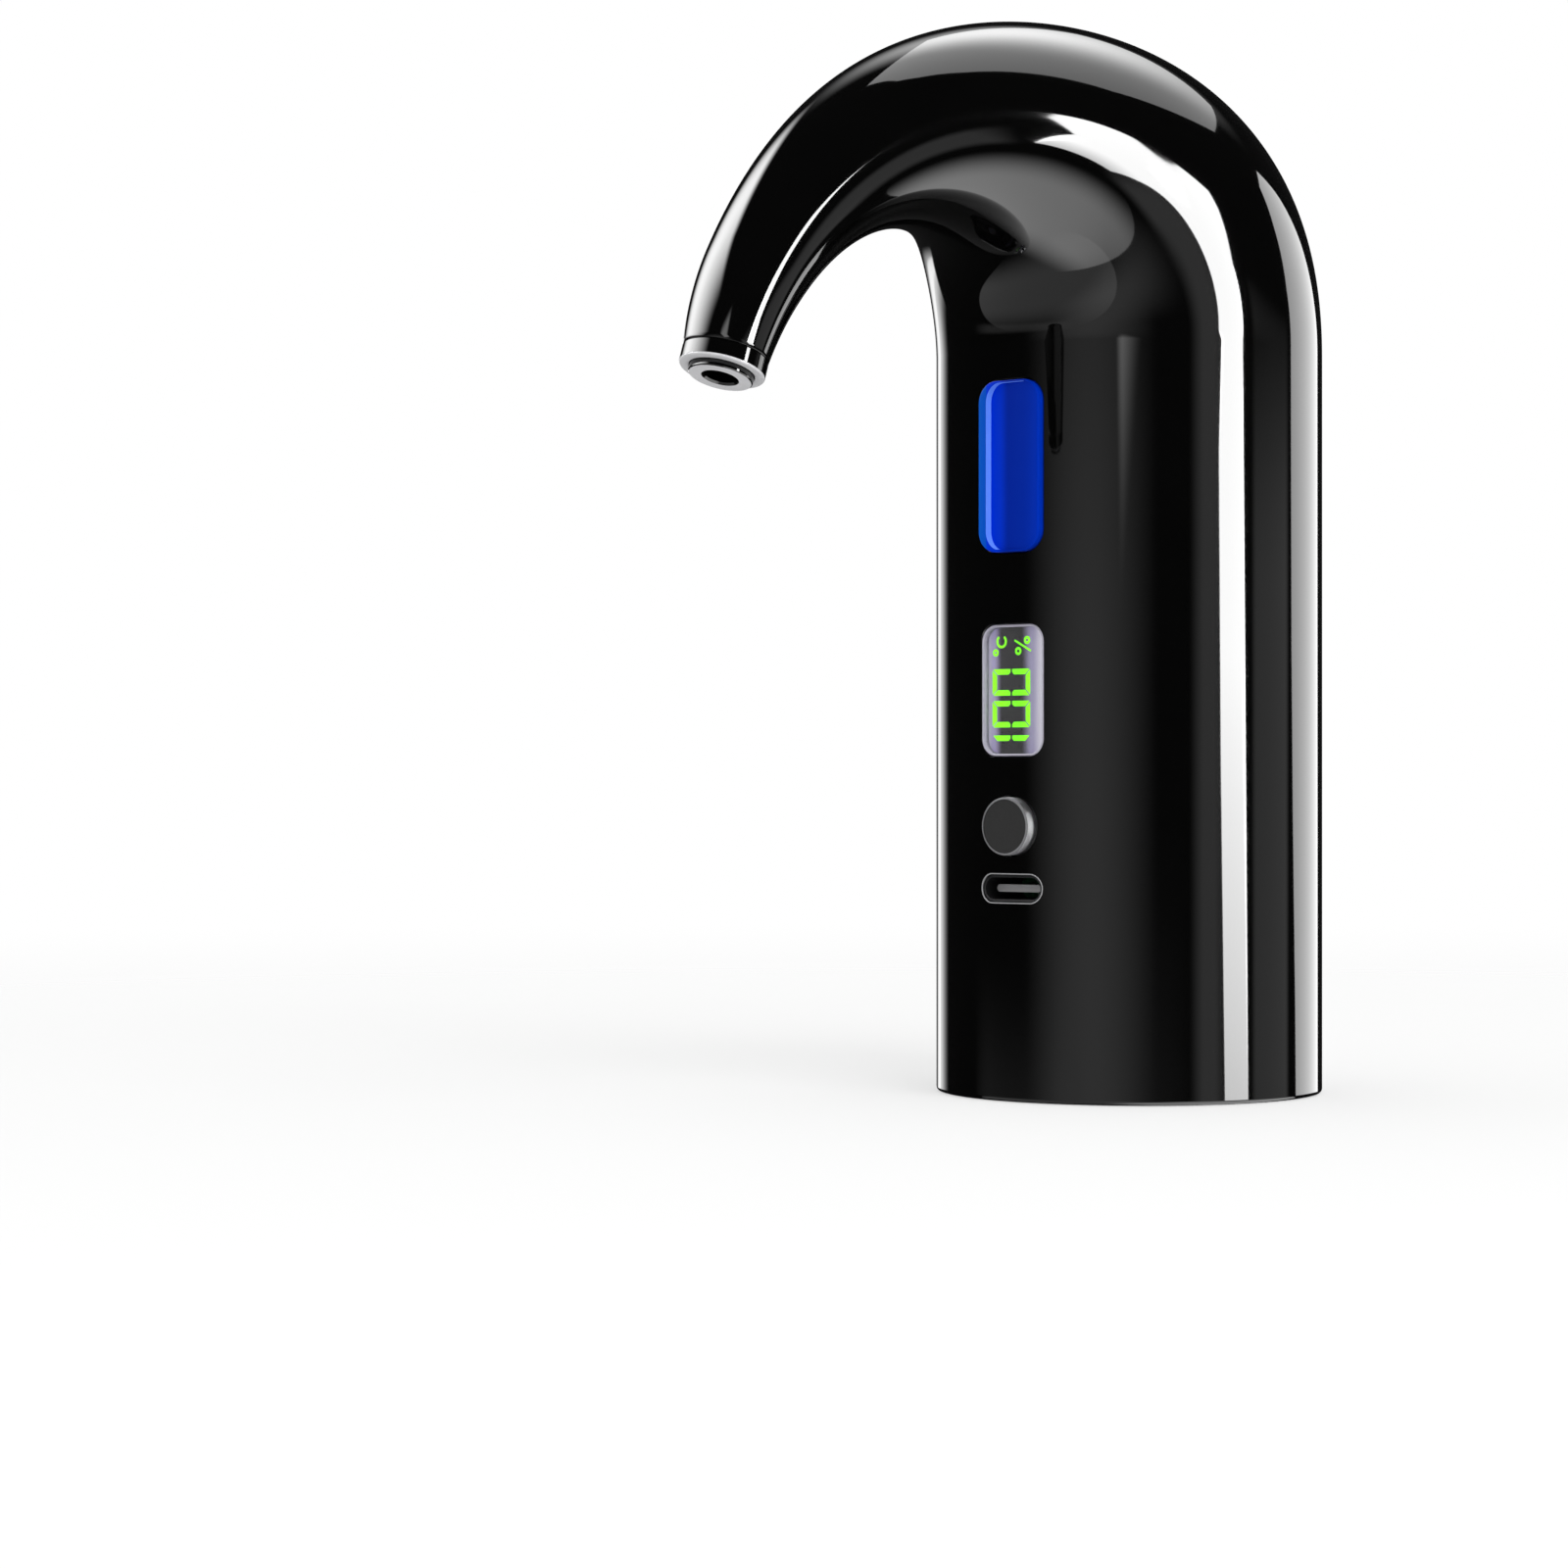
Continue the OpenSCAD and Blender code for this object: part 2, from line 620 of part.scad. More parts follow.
// Openings of the controls in the front wall
module control_openings() {
    far = body_r + over;
    near = inner_r - 2 * over - lip_w;
    front_prism(pour_z, pour_w + 2 * button_gap, pour_h + 2 * button_gap, pour_corner + button_gap,
        near, far);
    front_prism(display_z, display_w + 2 * fit_gap, display_h + 2 * fit_gap, display_corner + fit_gap,
        near, far);
    on_front(mode_z, near) cylinder(d = mode_d + 2 * button_gap, h = far - near);
    front_slot(usb_z, usb_w + 2 * fit_gap, usb_h + 2 * fit_gap, near, far);
}

// One half of the housing, on the right
module housing_half() {
    difference() {
        union() {
            rotate([0, 0, -90]) rotate_extrude(angle = 180) translate([inner_r, 0]) square([wall, arch_z]);
            intersection() {
                translate([boss_x, 0, bulkhead_top]) cylinder(d = boss_d, h = boss_h);
                cylinder(r = inner_r + wall / 2, h = arch_z);
            }
        }
        control_openings();
        translate([boss_x, 0, 0])
            cylinder(d = screw_d + 2 * fit_gap, h = bulkhead_top + base_screw_grip + over);
    }
    arch_half();
}

module right_housing() {
    color(gloss_black) housing_half();
}

module left_housing() {
    color(gloss_black) mirror([1, 0, 0]) housing_half();
}

// Puts a piece at the end of the spout, so that up points along the spout
module at_tip() {
    translate([0, -tip[0], tip[1]]) rotate([full_turn, 0, 0]) children();
}

module nozzle_ring() {
    color(gloss_black) at_tip() difference() {
        cylinder(r = nozzle_r, h = nozzle_h);
        translate([0, 0, -over]) cylinder(r = outlet_socket_r + fit_gap, h = nozzle_h + 2 * over);
        translate([0, 0, outlet_seat]) cylinder(r = outlet_head_r + fit_gap, h = nozzle_h);
    }
}

module nozzle_insert() {
    color(pale_grey) at_tip() difference() {
        union() {
            translate([0, 0, outlet_seat]) cylinder(r = outlet_head_r, h = outlet_face_z - outlet_seat);
            translate([0, 0, -outlet_socket_len])
                cylinder(r = outlet_socket_r, h = outlet_socket_len + outlet_seat);
        }
        translate([0, 0, -outlet_socket_len - over])
            cylinder(d = pour_hose_d + 2 * fit_gap, h = outlet_socket_len + over - hose_seat);
        translate([0, 0, -hose_seat - over])
            cylinder(d = pour_hose_bore, h = hose_seat + outlet_face_z + 2 * over);
    }
}

module pour_button() {
    face = body_r + pour_proud;
    color("#0a35c9") {
        hull() {
            front_prism(pour_z, pour_w, pour_h, pour_corner, pour_lip_front, face - pour_bevel);
            front_prism(pour_z, pour_w - 2 * pour_bevel, pour_h - 2 * pour_bevel, pour_corner - pour_bevel,
                pour_lip_front, face);
        }
        front_prism(pour_z, pour_w + 2 * lip_w, pour_h + 2 * lip_w, pour_corner,
            pour_lip_back, pour_lip_front);
    }
}

// Switch on the board, open in front for its plunger
module switch_body(z) {
    difference() {
        on_front(z, board_front) translate([-switch_w / 2, -switch_w / 2])
            cube([switch_w, switch_w, switch_h]);
        on_front(z, board_front + switch_floor) cylinder(d = plunger_d + 2 * fit_gap, h = switch_h);
    }
}

// Plunger that the button pushes into its switch
module switch_plunger(z, travel, front) {
    back = board_front + switch_floor + travel + fit_gap;
    on_front(z, back) cylinder(d = plunger_d, h = front - back);
}

module pour_switch() {
    color(inner_black) switch_body(pour_z);
}

module pour_plunger() {
    color(clear_white) switch_plunger(pour_z, pour_travel, pour_lip_back);
}

module mode_button() {
    r = mode_d / 2;
    tall = body_r + mode_proud - mode_lip_back;
    color("#2b2b2d") on_front(mode_z, mode_lip_back) rotate_extrude() polygon([
        [0, 0], [r + lip_w, 0], [r + lip_w, lip_t], [r, lip_t],
        [r, tall - mode_chamfer], [r - mode_chamfer, tall], [0, tall]]);
}

module mode_switch() {
    color(inner_black) switch_body(mode_z);
}

module mode_plunger() {
    color(clear_white) switch_plunger(mode_z, mode_travel, mode_lip_back);
}

module display_lens() {
    color(clear_white) {
        front_prism(display_z, display_w, display_h, display_corner, lens_lip_front, body_r - lens_recess);
        front_prism(display_z, display_w + 2 * lip_w, display_h + 2 * lip_w, display_corner,
            lens_lip_back, lens_lip_front);
    }
}

module display_panel() {
    color("#7a7d80") front_prism(display_z, display_w + lip_w, display_h + lip_w, display_corner,
        lens_lip_back - panel_t, lens_lip_back);
}

module display_frame() {
    color(clear_white) front_prism(display_z, display_w + 2 * lip_w, display_h + 2 * lip_w, display_corner,
        board_front, lens_lip_back - panel_t);
}

module usb_socket() {
    color(silver) difference() {
        front_slot(usb_z, usb_w, usb_h, board_front, body_r - usb_recess);
        front_slot(usb_z, usb_w - 2 * usb_t, usb_h - 2 * usb_t, board_front + usb_back_t, body_r + over);
    }
}

module usb_tongue() {
    root = board_front + usb_back_t;
    color(pale_grey) on_front(usb_z, root) translate([-tongue_w / 2, -tongue_t / 2])
        cube([tongue_w, tongue_t, body_r - usb_recess - tongue_recess - root]);
}

// Places of the four board screws, pointing forward off the board
module at_board_screws(from) {
    for (x = [-post_x, post_x], z = board_screw_zs)
        translate([x, 0, 0]) on_front(z, from) children();
}

module main_board() {
    color(board_green) difference() {
        translate([-board_w / 2, -board_front, board_z]) cube([board_w, board_t, board_top - board_z]);
        at_board_screws(board_back - over) cylinder(d = board_screw_d + 2 * fit_gap, h = board_t + 2 * over);
    }
}

// Chips, coil and the two lead plugs on the back of the board
module board_components() {
    color(inner_black) {
        for (part = board_parts)
            translate([part[0] - part[2] / 2, -board_back, board_z + part[1] - part[3] / 2])
                cube([part[2], part_h, part[3]]);
        for (plug = [[-plug_x, battery_plug_z], [plug_x, motor_plug_z]])
            translate([plug[0] - plug_w / 2, -board_back, plug[1] - plug_h / 2])
                cube([plug_w, plug_d, plug_h]);
    }
}

module board_screws() {
    color(silver) at_board_screws(board_back - board_screw_grip) {
        cylinder(d = board_screw_d, h = board_screw_grip + board_t);
        translate([0, 0, board_screw_grip + board_t])
            cylinder(d = board_screw_head_d, h = board_screw_head_h);
    }
}

// Bulkhead with the socket's lining, the spigot for the stopper, the tube's gland and the air passage
module base_collar() {
    color(inner_black) difference() {
        union() {
            ring(collar_r, collar_r - collar_wall, bulkhead_top);
            translate([0, 0, socket_depth]) cylinder(r = collar_r, h = bulkhead_t);
            translate([0, 0, spigot_z]) cylinder(d = spigot_d, h = socket_depth - spigot_z + over);
            translate([0, 0, bulkhead_top]) cylinder(r = gland_r, h = gland_h);
            translate([pump_x, -air_spigot_y, bulkhead_top])
                cylinder(d = air_hose_bore - 2 * fit_gap, h = air_spigot_len);
        }
        translate([0, 0, spigot_z - over]) cylinder(d = spigot_bore_d, h = air_z + air_d - spigot_z + over);
        cylinder(r = tube_r + fit_gap, h = bulkhead_top + gland_h + over);
        translate([0, 0, bulkhead_top + gland_floor])
            cylinder(r = gland_r - gland_wall, h = seal_wire_d + 2 * fit_gap);
        // Air passage: down the air spigot and across to the bore around the tube
        translate([pump_x, -air_spigot_y, air_z - air_pocket])
            cylinder(d = air_d, h = bulkhead_t + air_spigot_len);
        translate([pump_x, -air_spigot_y, air_z])
            rotate([0, 0, atan2(air_spigot_y, -pump_x)]) rotate([0, 90, 0])
            cylinder(d = air_d, h = norm([pump_x, air_spigot_y]) - spigot_bore_d / 2 + over);
        for (x = [-boss_x, boss_x])
            translate([x, 0, 0]) cylinder(d = screw_d + 2 * fit_gap, h = bulkhead_top + over);
        at_chassis_screws(socket_depth - over) cylinder(d = screw_d + 2 * fit_gap, h = bulkhead_t + 2 * over);
    }
}

// Soft plug on the spigot: flange under the bulkhead, ribs, plain end with a lead-in
module bottle_stopper() {
    top = socket_depth - stopper_flange_t;
    low = spigot_z - stopper_under;
    lead_in = 1.2;
    r = stopper_d / 2;
    rib_from = low + lead_in + stopper_land;
    pitch = (top - rib_from) / stopper_ribs;
    ribs = [for (k = [0 : stopper_ribs - 1]) each let (z = rib_from + k * pitch)
        [[r, z], [r + stopper_rib, z + pitch / 4], [r + stopper_rib, z + pitch / 2], [r, z + pitch * 3 / 4]]];
    color(rubber_grey) rotate_extrude() polygon(concat(
        [[spigot_d / 2 + fit_gap, low], [r - lead_in, low], [r, low + lead_in]], ribs,
        [[r, top], [stopper_flange_d / 2, top], [stopper_flange_d / 2, socket_depth],
        [spigot_d / 2 + fit_gap, socket_depth]]));
}

// Screw that points up, with its head below
module screw(grip) {
    translate([0, 0, -screw_head_h]) cylinder(d = screw_head_d, h = screw_head_h);
    cylinder(d = screw_d, h = grip);
}

module base_screws() {
    color(silver) for (x = [-boss_x, boss_x])
        translate([x, 0, socket_depth]) screw(bulkhead_t + base_screw_grip);
}

module at_chassis_screws(z) {
    for (turn = chassis_screw_turns)
        rotate([0, 0, turn]) translate([chassis_screw_r, 0, z]) children();
}

module chassis_screws() {
    color(silver) at_chassis_screws(socket_depth) screw(bulkhead_t + deck_t - deck_skin - screw_end_gap);
}

// Outline of a deck, flat in front for the board and notched for the housing's bosses
module deck() {
    difference() {
        circle(r = frame_r);
        translate([-body_r, -body_d - board_back]) square([body_d, body_d]);
        for (x = [-boss_x, boss_x]) translate([x, 0]) circle(d = boss_d + 2 * frame_gap);
    }
}

// Open clip around the cell or the motor, cut off short of the housing
module cradle(x, y, r, z) {
    intersection() {
        translate([x, y, z]) ring(r + fit_gap + cradle_t, r + fit_gap, cradle_h);
        translate([0, 0, z]) cylinder(r = frame_r - cradle_t, h = cradle_h);
    }
}

// Inner frame: two decks, the rib between battery and pump, two posts for the board, cradles
module chassis() {
    tall = upper_deck_top - bulkhead_top;
    rib_y = tube_r + frame_gap;
    color(inner_black) difference() {
        union() {
            for (z = [bulkhead_top, upper_deck_z]) translate([0, 0, z]) linear_extrude(deck_t) deck();
            translate([rib_x - rib_t / 2, rib_y, bulkhead_top])
                cube([rib_t, sqrt(pow(frame_r, 2) - pow(rib_offset + rib_t, 2)) - rib_y, tall]);
            for (x = [-post_x, post_x])
                translate([x - post_w / 2, -board_back, bulkhead_top]) cube([post_w, post_depth, tall]);
            for (share = cradle_shares)
                cradle(battery_x, battery_y, battery_r, battery_z + share * battery_len);
            cradle(pump_x, pump_y, sleeve_r, motor_z + (motor_len - cradle_h) / 2);
        }
        translate([0, 0, bulkhead_top - over])
            cylinder(r = gland_r + frame_gap, h = gland_h + frame_gap + over);
        translate([0, 0, bulkhead_top]) cylinder(r = tube_r + fit_gap, h = tall + over);
        translate([pump_x, -air_spigot_y, bulkhead_top - over])
            cylinder(d = air_hose_d + 2 * frame_gap, h = deck_t + 2 * over);
        at_chassis_screws(bulkhead_top - over)
            cylinder(d = screw_d + 2 * fit_gap, h = deck_t + over - deck_skin);
        at_board_screws(board_back - board_screw_grip - screw_end_gap)
            cylinder(d = board_screw_d + 2 * fit_gap, h = board_screw_grip + over);
    }
}

// Tube i of the telescope, 0 being the fixed one
module tube_stage(i, length) {
    color(silver) translate([0, 0, stage_z(i)]) ring(stage_r(i), stage_r(i) - tube_wall, length);
}

module dip_tube_outer() {
    tube_stage(0, tube_top - tube_z);
}

module dip_tube_upper() {
    tube_stage(1, stage_len);
}

module dip_tube_middle() {
    tube_stage(2, stage_len);
}

module dip_tube_lower() {
    tube_stage(3, stage_len);
}

// The last tube reaches down into its foot
module dip_tube_inner() {
    color(silver) translate([0, 0, foot_z + foot_h / 2])
        ring(stage_r(4), stage_r(4) - tube_wall, stage_z(4) + stage_len - foot_z - foot_h / 2);
}

// Foot with a seat for the tube, an inlet and two slots across
module dip_tube_foot() {
    color(clear_white) translate([0, 0, foot_z]) difference() {
        cylinder(d = foot_d, h = foot_h);
        translate([0, 0, foot_h / 2]) cylinder(r = stage_r(4) + fit_gap / 2, h = foot_h);
        translate([0, 0, -over]) cylinder(r = stage_r(4) - tube_wall, h = foot_h + over);
        for (turn = [0, 90]) rotate([0, 0, turn])
            translate([-foot_d / 2 - over, -foot_slot_w / 2, -over])
                cube([foot_d + 2 * over, foot_slot_w, over + foot_h / 3]);
    }
}

module tube_seal() {
    middle = bulkhead_top + gland_floor + fit_gap + seal_wire_d / 2;
    color("#7a2a22") translate([0, 0, middle]) rotate_extrude()
        translate([tube_r + fit_gap + seal_wire_d / 2, 0]) circle(d = seal_wire_d - 2 * seal_gap);
}

// Cap on the fixed tube with the barb for the pour hose
module tube_cap() {
    barb_d = pour_hose_bore - 2 * fit_gap;
    color(clear_white) difference() {
        union() {
            translate([0, 0, upper_deck_top])
                cylinder(r = tube_r + fit_gap + gland_wall, h = cap_seat + cap_plate_t);
            translate([0, 0, cap_shoulder]) cylinder(d = barb_d, h = cap_barb_len);
        }
        translate([0, 0, upper_deck_top - over]) cylinder(r = tube_r + fit_gap, h = cap_seat + over);
        cylinder(d = barb_d - 2 * cap_barb_wall, h = arch_z + over);
    }
}

module pour_hose() {
    color("#d9dcda") hose(pour_route, pour_hose_d, pour_hose_bore, hose_sides);
}

// Bead clipped to the fixed tube, with its stub to the board
module temperature_sensor() {
    clip_z = board_z + 30;
    clip_h = 5;
    clip_r = tube_r + fit_gap;
    clip_t = 0.8;
    bead_r = 1.4;
    bead_y = clip_r + clip_t + bead_r * 0.8;
    color(copper) {
        translate([0, 0, clip_z]) difference() {
            ring(clip_r + clip_t, clip_r, clip_h);
            translate([-tube_r / 2, 0, -over]) cube([tube_r, body_r, clip_h + 2 * over]);
        }
        translate([0, 0, clip_z - over]) difference() {
            translate([0, -bead_y]) cylinder(r = bead_r, h = clip_h + 2 * over);
            translate([0, 0, -over]) cylinder(r = clip_r + clip_t / 2, h = clip_h + 4 * over);
        }
        on_front(clip_z + clip_h / 2, bead_y) cylinder(d = lead_d, h = board_back - bead_y);
    }
}

module battery_cell() {
    color("#2f7d4a") translate([battery_x, battery_y, battery_z]) {
        cylinder(r = battery_r, h = battery_len);
        translate([0, 0, battery_len]) cylinder(d = battery_nub_d, h = battery_nub_h);
    }
}

module battery_pad() {
    color(rubber_grey) translate([battery_x, battery_y, deck_top])
        cylinder(r = battery_r - pad_inset, h = battery_pad_t);
}

module battery_leads() {
    color("#b3261e") {
        lead(battery_top_route, lead_d, lead_sides);
        lead(battery_low_route, lead_d, lead_sides);
    }
}

module at_pump(z) {
    translate([pump_x, pump_y, z]) children();
}

module pump_pad() {
    color(rubber_grey) at_pump(deck_top)
        cylinder(r = min(pump_r - pad_inset, norm([pump_x, pump_y]) - gland_r - frame_gap), h = pump_pad_t);
}

// Cup that holds the valve plate, with the outlet that points forward
module pump_head() {
    color(inner_black) difference() {
        union() {
            at_pump(head_z) cylinder(r = pump_r, h = head_h);
            translate([pump_x, pump_y, outlet_z]) rotate([90, 0, 0])
                cylinder(d = air_hose_bore - 2 * fit_gap, h = pump_r + air_spigot_len);
        }
        at_pump(head_z + floor_t) cylinder(r = pump_r - head_wall, h = head_h);
        translate([pump_x, pump_y, outlet_z]) rotate([90, 0, 0])
            cylinder(d = air_d, h = pump_r + air_spigot_len + over);
    }
}

module valve_plate() {
    color(pale_grey) at_pump(valve_plate_z) difference() {
        cylinder(r = pump_r - head_wall - fit_gap, h = valve_plate_t);
        for (side = [-1, 1]) translate([side * valve_x, 0, -over]) {
            cylinder(d = valve_stem_d + 2 * fit_gap, h = valve_plate_t + 2 * over);
            for (turn = [60, 180, 300]) rotate([0, 0, turn]) translate([valve_hole_r, 0])
                cylinder(d = valve_hole_d, h = valve_plate_t + 2 * over);
        }
    }
}

// Two umbrella valves under the plate
module pump_valves() {
    cap_t = 0.7;
    color(rubber_grey) for (side = [-1, 1]) at_pump(valve_plate_z) translate([side * valve_x, 0]) {
        translate([0, 0, -cap_t]) cylinder(d = valve_d, h = cap_t);
        cylinder(d = valve_stem_d, h = valve_plate_t);
    }
}

module pump_diaphragm() {
    color(rubber_grey) at_pump(diaphragm_z) cylinder(r = pump_r, h = diaphragm_t);
}

// Plate on the diaphragm, open in the middle for the drive pin's sweep
module wobble_plate() {
    plate_t = 1.4;
    color(pale_grey) at_pump(case_z) ring(pump_r - head_wall - frame_gap, crank_sweep_r + frame_gap, plate_t);
}

// Case between diaphragm and motor, with the bearing for the shaft in its top
module pump_case() {
    top_t = 1.6;
    color(inner_black) at_pump(case_z) difference() {
        cylinder(r = pump_r, h = case_h);
        translate([0, 0, -over]) cylinder(r = pump_r - head_wall, h = case_h - top_t + over);
        cylinder(r = shaft_d / 2 + shaft_gap, h = case_h + over);
    }
}

module motor_can() {
    color(silver) at_pump(motor_z) difference() {
        cylinder(d = motor_d, h = motor_len);
        translate([0, 0, can_t]) cylinder(r = motor_d / 2 - can_t, h = motor_len);
        translate([0, 0, -over]) cylinder(r = shaft_d / 2 + frame_gap, h = motor_len);
    }
}

module motor_magnets() {
    color("#3b3b3f") for (turn = [0, 180]) at_pump(rotor_z) rotate([0, 0, turn - magnet_turn / 2])
        rotate_extrude(angle = magnet_turn) translate([magnet_r - magnet_t, 0]) square([magnet_t, rotor_len]);
}

// Three poles on the shaft, with the slots of the winding between them
module motor_rotor() {
    color(copper) at_pump(rotor_z) difference() {
        cylinder(r = rotor_r, h = rotor_len);
        translate([0, 0, -over]) cylinder(r = shaft_d / 2 + fit_gap / 2, h = rotor_len + 2 * over);
        for (pole = [1 : rotor_poles]) rotate([0, 0, 360 * pole / rotor_poles])
            translate([rotor_core_r, -rotor_slot_w / 2, -over])
                cube([rotor_r, rotor_slot_w, rotor_len + 2 * over]);
    }
}

module motor_shaft() {
    low = crank_disc_z + crank_floor;
    color(silver) at_pump(low) cylinder(d = shaft_d, h = shaft_top - low);
}

// Disc on the shaft with the drive pin set off its middle
module drive_eccentric() {
    color(brass_yellow) difference() {
        union() {
            at_pump(crank_disc_z) cylinder(r = crank_disc_r, h = crank_disc_h);
            at_pump(crank_pin_z) translate([crank_throw, 0])
                cylinder(d = crank_pin_d, h = crank_disc_z + crank_floor - crank_pin_z);
        }
        at_pump(crank_disc_z + crank_floor) cylinder(r = shaft_d / 2 + fit_gap / 2, h = crank_disc_h);
    }
}

// End cap with the upper bearing and the two terminals
module motor_endcap() {
    color(inner_black) at_pump(endcap_z) {
        difference() {
            cylinder(d = motor_d, h = endcap_t);
            translate([0, 0, -over]) cylinder(r = shaft_d / 2 + shaft_gap, h = endcap_t + over - endcap_skin);
        }
        for (side = [-1, 1]) translate([tab_x * side - tab_w / 2, tab_y - tab_len / 2, endcap_t])
            cube([tab_w, tab_len, tab_h]);
    }
}

module motor_sleeve() {
    color(rubber_grey) at_pump(motor_z + (motor_len - sleeve_h) / 2)
        ring(sleeve_r, motor_d / 2 + fit_gap / 2, sleeve_h);
}

module motor_leads() {
    color("#1d1d1f") for (side = [-1, 1]) lead(motor_route(side), lead_d, lead_sides);
}

module air_hose() {
    color("#cfd3d4") hose(air_route, air_hose_d, air_hose_bore, hose_sides);
}

left_housing();
right_housing();
nozzle_ring();
nozzle_insert();
pour_button();
pour_plunger();
pour_switch();
mode_button();
mode_plunger();
mode_switch();
display_lens();
display_panel();
display_frame();
usb_socket();
usb_tongue();
main_board();
board_components();
board_screws();
base_collar();
bottle_stopper();
base_screws();
chassis();
chassis_screws();
dip_tube_outer();
dip_tube_upper();
dip_tube_middle();
dip_tube_lower();
dip_tube_inner();
dip_tube_foot();
tube_seal();
tube_cap();
pour_hose();
temperature_sensor();
battery_cell();
battery_pad();
battery_leads();
pump_pad();
pump_head();
valve_plate();
pump_valves();
pump_diaphragm();
wobble_plate();
pump_case();
motor_can();
motor_magnets();
motor_rotor();
motor_shaft();
drive_eccentric();
motor_endcap();
motor_sleeve();
motor_leads();
air_hose();
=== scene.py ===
"""Electric drink dispenser: finished pieces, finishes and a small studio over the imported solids.

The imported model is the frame. Pieces that show get a finer mesh here, and the works inside keep their solids.
Sizes in the classes are in millimetres and are turned to metres where a mesh is made.
"""

import logging
import math
from dataclasses import dataclass, field
from enum import Enum

import bmesh
import bpy
from bmesh.types import BMEdge, BMesh, BMFace, BMVert
from bpy.types import Material, Mesh, Node, NodeSocket, NodeTree, Object
from mathutils import Matrix, Vector


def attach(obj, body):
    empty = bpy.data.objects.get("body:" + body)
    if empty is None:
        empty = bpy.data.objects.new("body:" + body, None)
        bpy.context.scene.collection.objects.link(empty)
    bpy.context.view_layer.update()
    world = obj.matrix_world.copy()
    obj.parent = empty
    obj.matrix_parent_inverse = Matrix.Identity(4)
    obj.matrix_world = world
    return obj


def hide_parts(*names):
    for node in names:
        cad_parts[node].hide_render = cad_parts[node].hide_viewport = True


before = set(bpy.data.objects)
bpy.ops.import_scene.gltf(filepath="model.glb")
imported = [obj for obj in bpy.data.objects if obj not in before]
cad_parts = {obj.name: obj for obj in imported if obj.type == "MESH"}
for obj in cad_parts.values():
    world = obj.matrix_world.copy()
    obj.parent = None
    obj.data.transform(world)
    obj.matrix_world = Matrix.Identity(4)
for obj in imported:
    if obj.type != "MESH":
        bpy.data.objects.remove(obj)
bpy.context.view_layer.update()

MM = 0.001
UP = Vector((0.0, 0.0, 1.0))
CUT_DEPTH = 12.0
CUT_Y = -24.0
log = logging.getLogger("dispenser")


def linear(code: str) -> tuple[float, float, float, float]:
    """Turns an sRGB hex colour into a linear one.

    Args:
        code: six hex digits, such as "0a2fd0".

    Returns:
        Red, green, blue and an alpha of 1, in linear light.
    """
    levels = [int(code[i:i + 2], 16) / 255 for i in (0, 2, 4)]
    red, green, blue = [v / 12.92 if v <= 0.04045 else ((v + 0.055) / 1.055) ** 2.4 for v in levels]
    return red, green, blue, 1.0


def add(tree: NodeTree, kind: str, links: dict | None = None, **settings: object) -> Node:
    """Adds a node with its settings and links.

    Args:
        tree: the node tree.
        kind: Blender's name of the node.
        links: input name or number to a socket, which is linked, or to a plain value.
        settings: the node's own properties.

    Returns:
        The new node.
    """
    node = tree.nodes.new(kind)
    for name, value in settings.items():
        setattr(node, name, value)
    for key, value in (links or {}).items():
        if isinstance(value, NodeSocket):
            tree.links.new(value, node.inputs[key])
        else:
            node.inputs[key].default_value = value
    return node


def blank(name: str) -> Material:
    """Returns a new material with an empty node tree."""
    material = bpy.data.materials.new(name)
    material.use_nodes = True
    material.node_tree.nodes.clear()
    return material


def own_axes(tree: NodeTree) -> Node:
    """Returns a node that splits the object's own coordinates into X, Y and Z."""
    coords = add(tree, "ShaderNodeTexCoord")
    return add(tree, "ShaderNodeSeparateXYZ", {"Vector": coords.outputs["Object"]})


class Pattern(Enum):
    """How a surface was made, as the texture node that draws it."""

    MOTTLE = "ShaderNodeTexNoise"
    CELLS = "ShaderNodeTexVoronoi"
    BANDS = "ShaderNodeTexWave"
    TRACES = "ShaderNodeTexBrick"


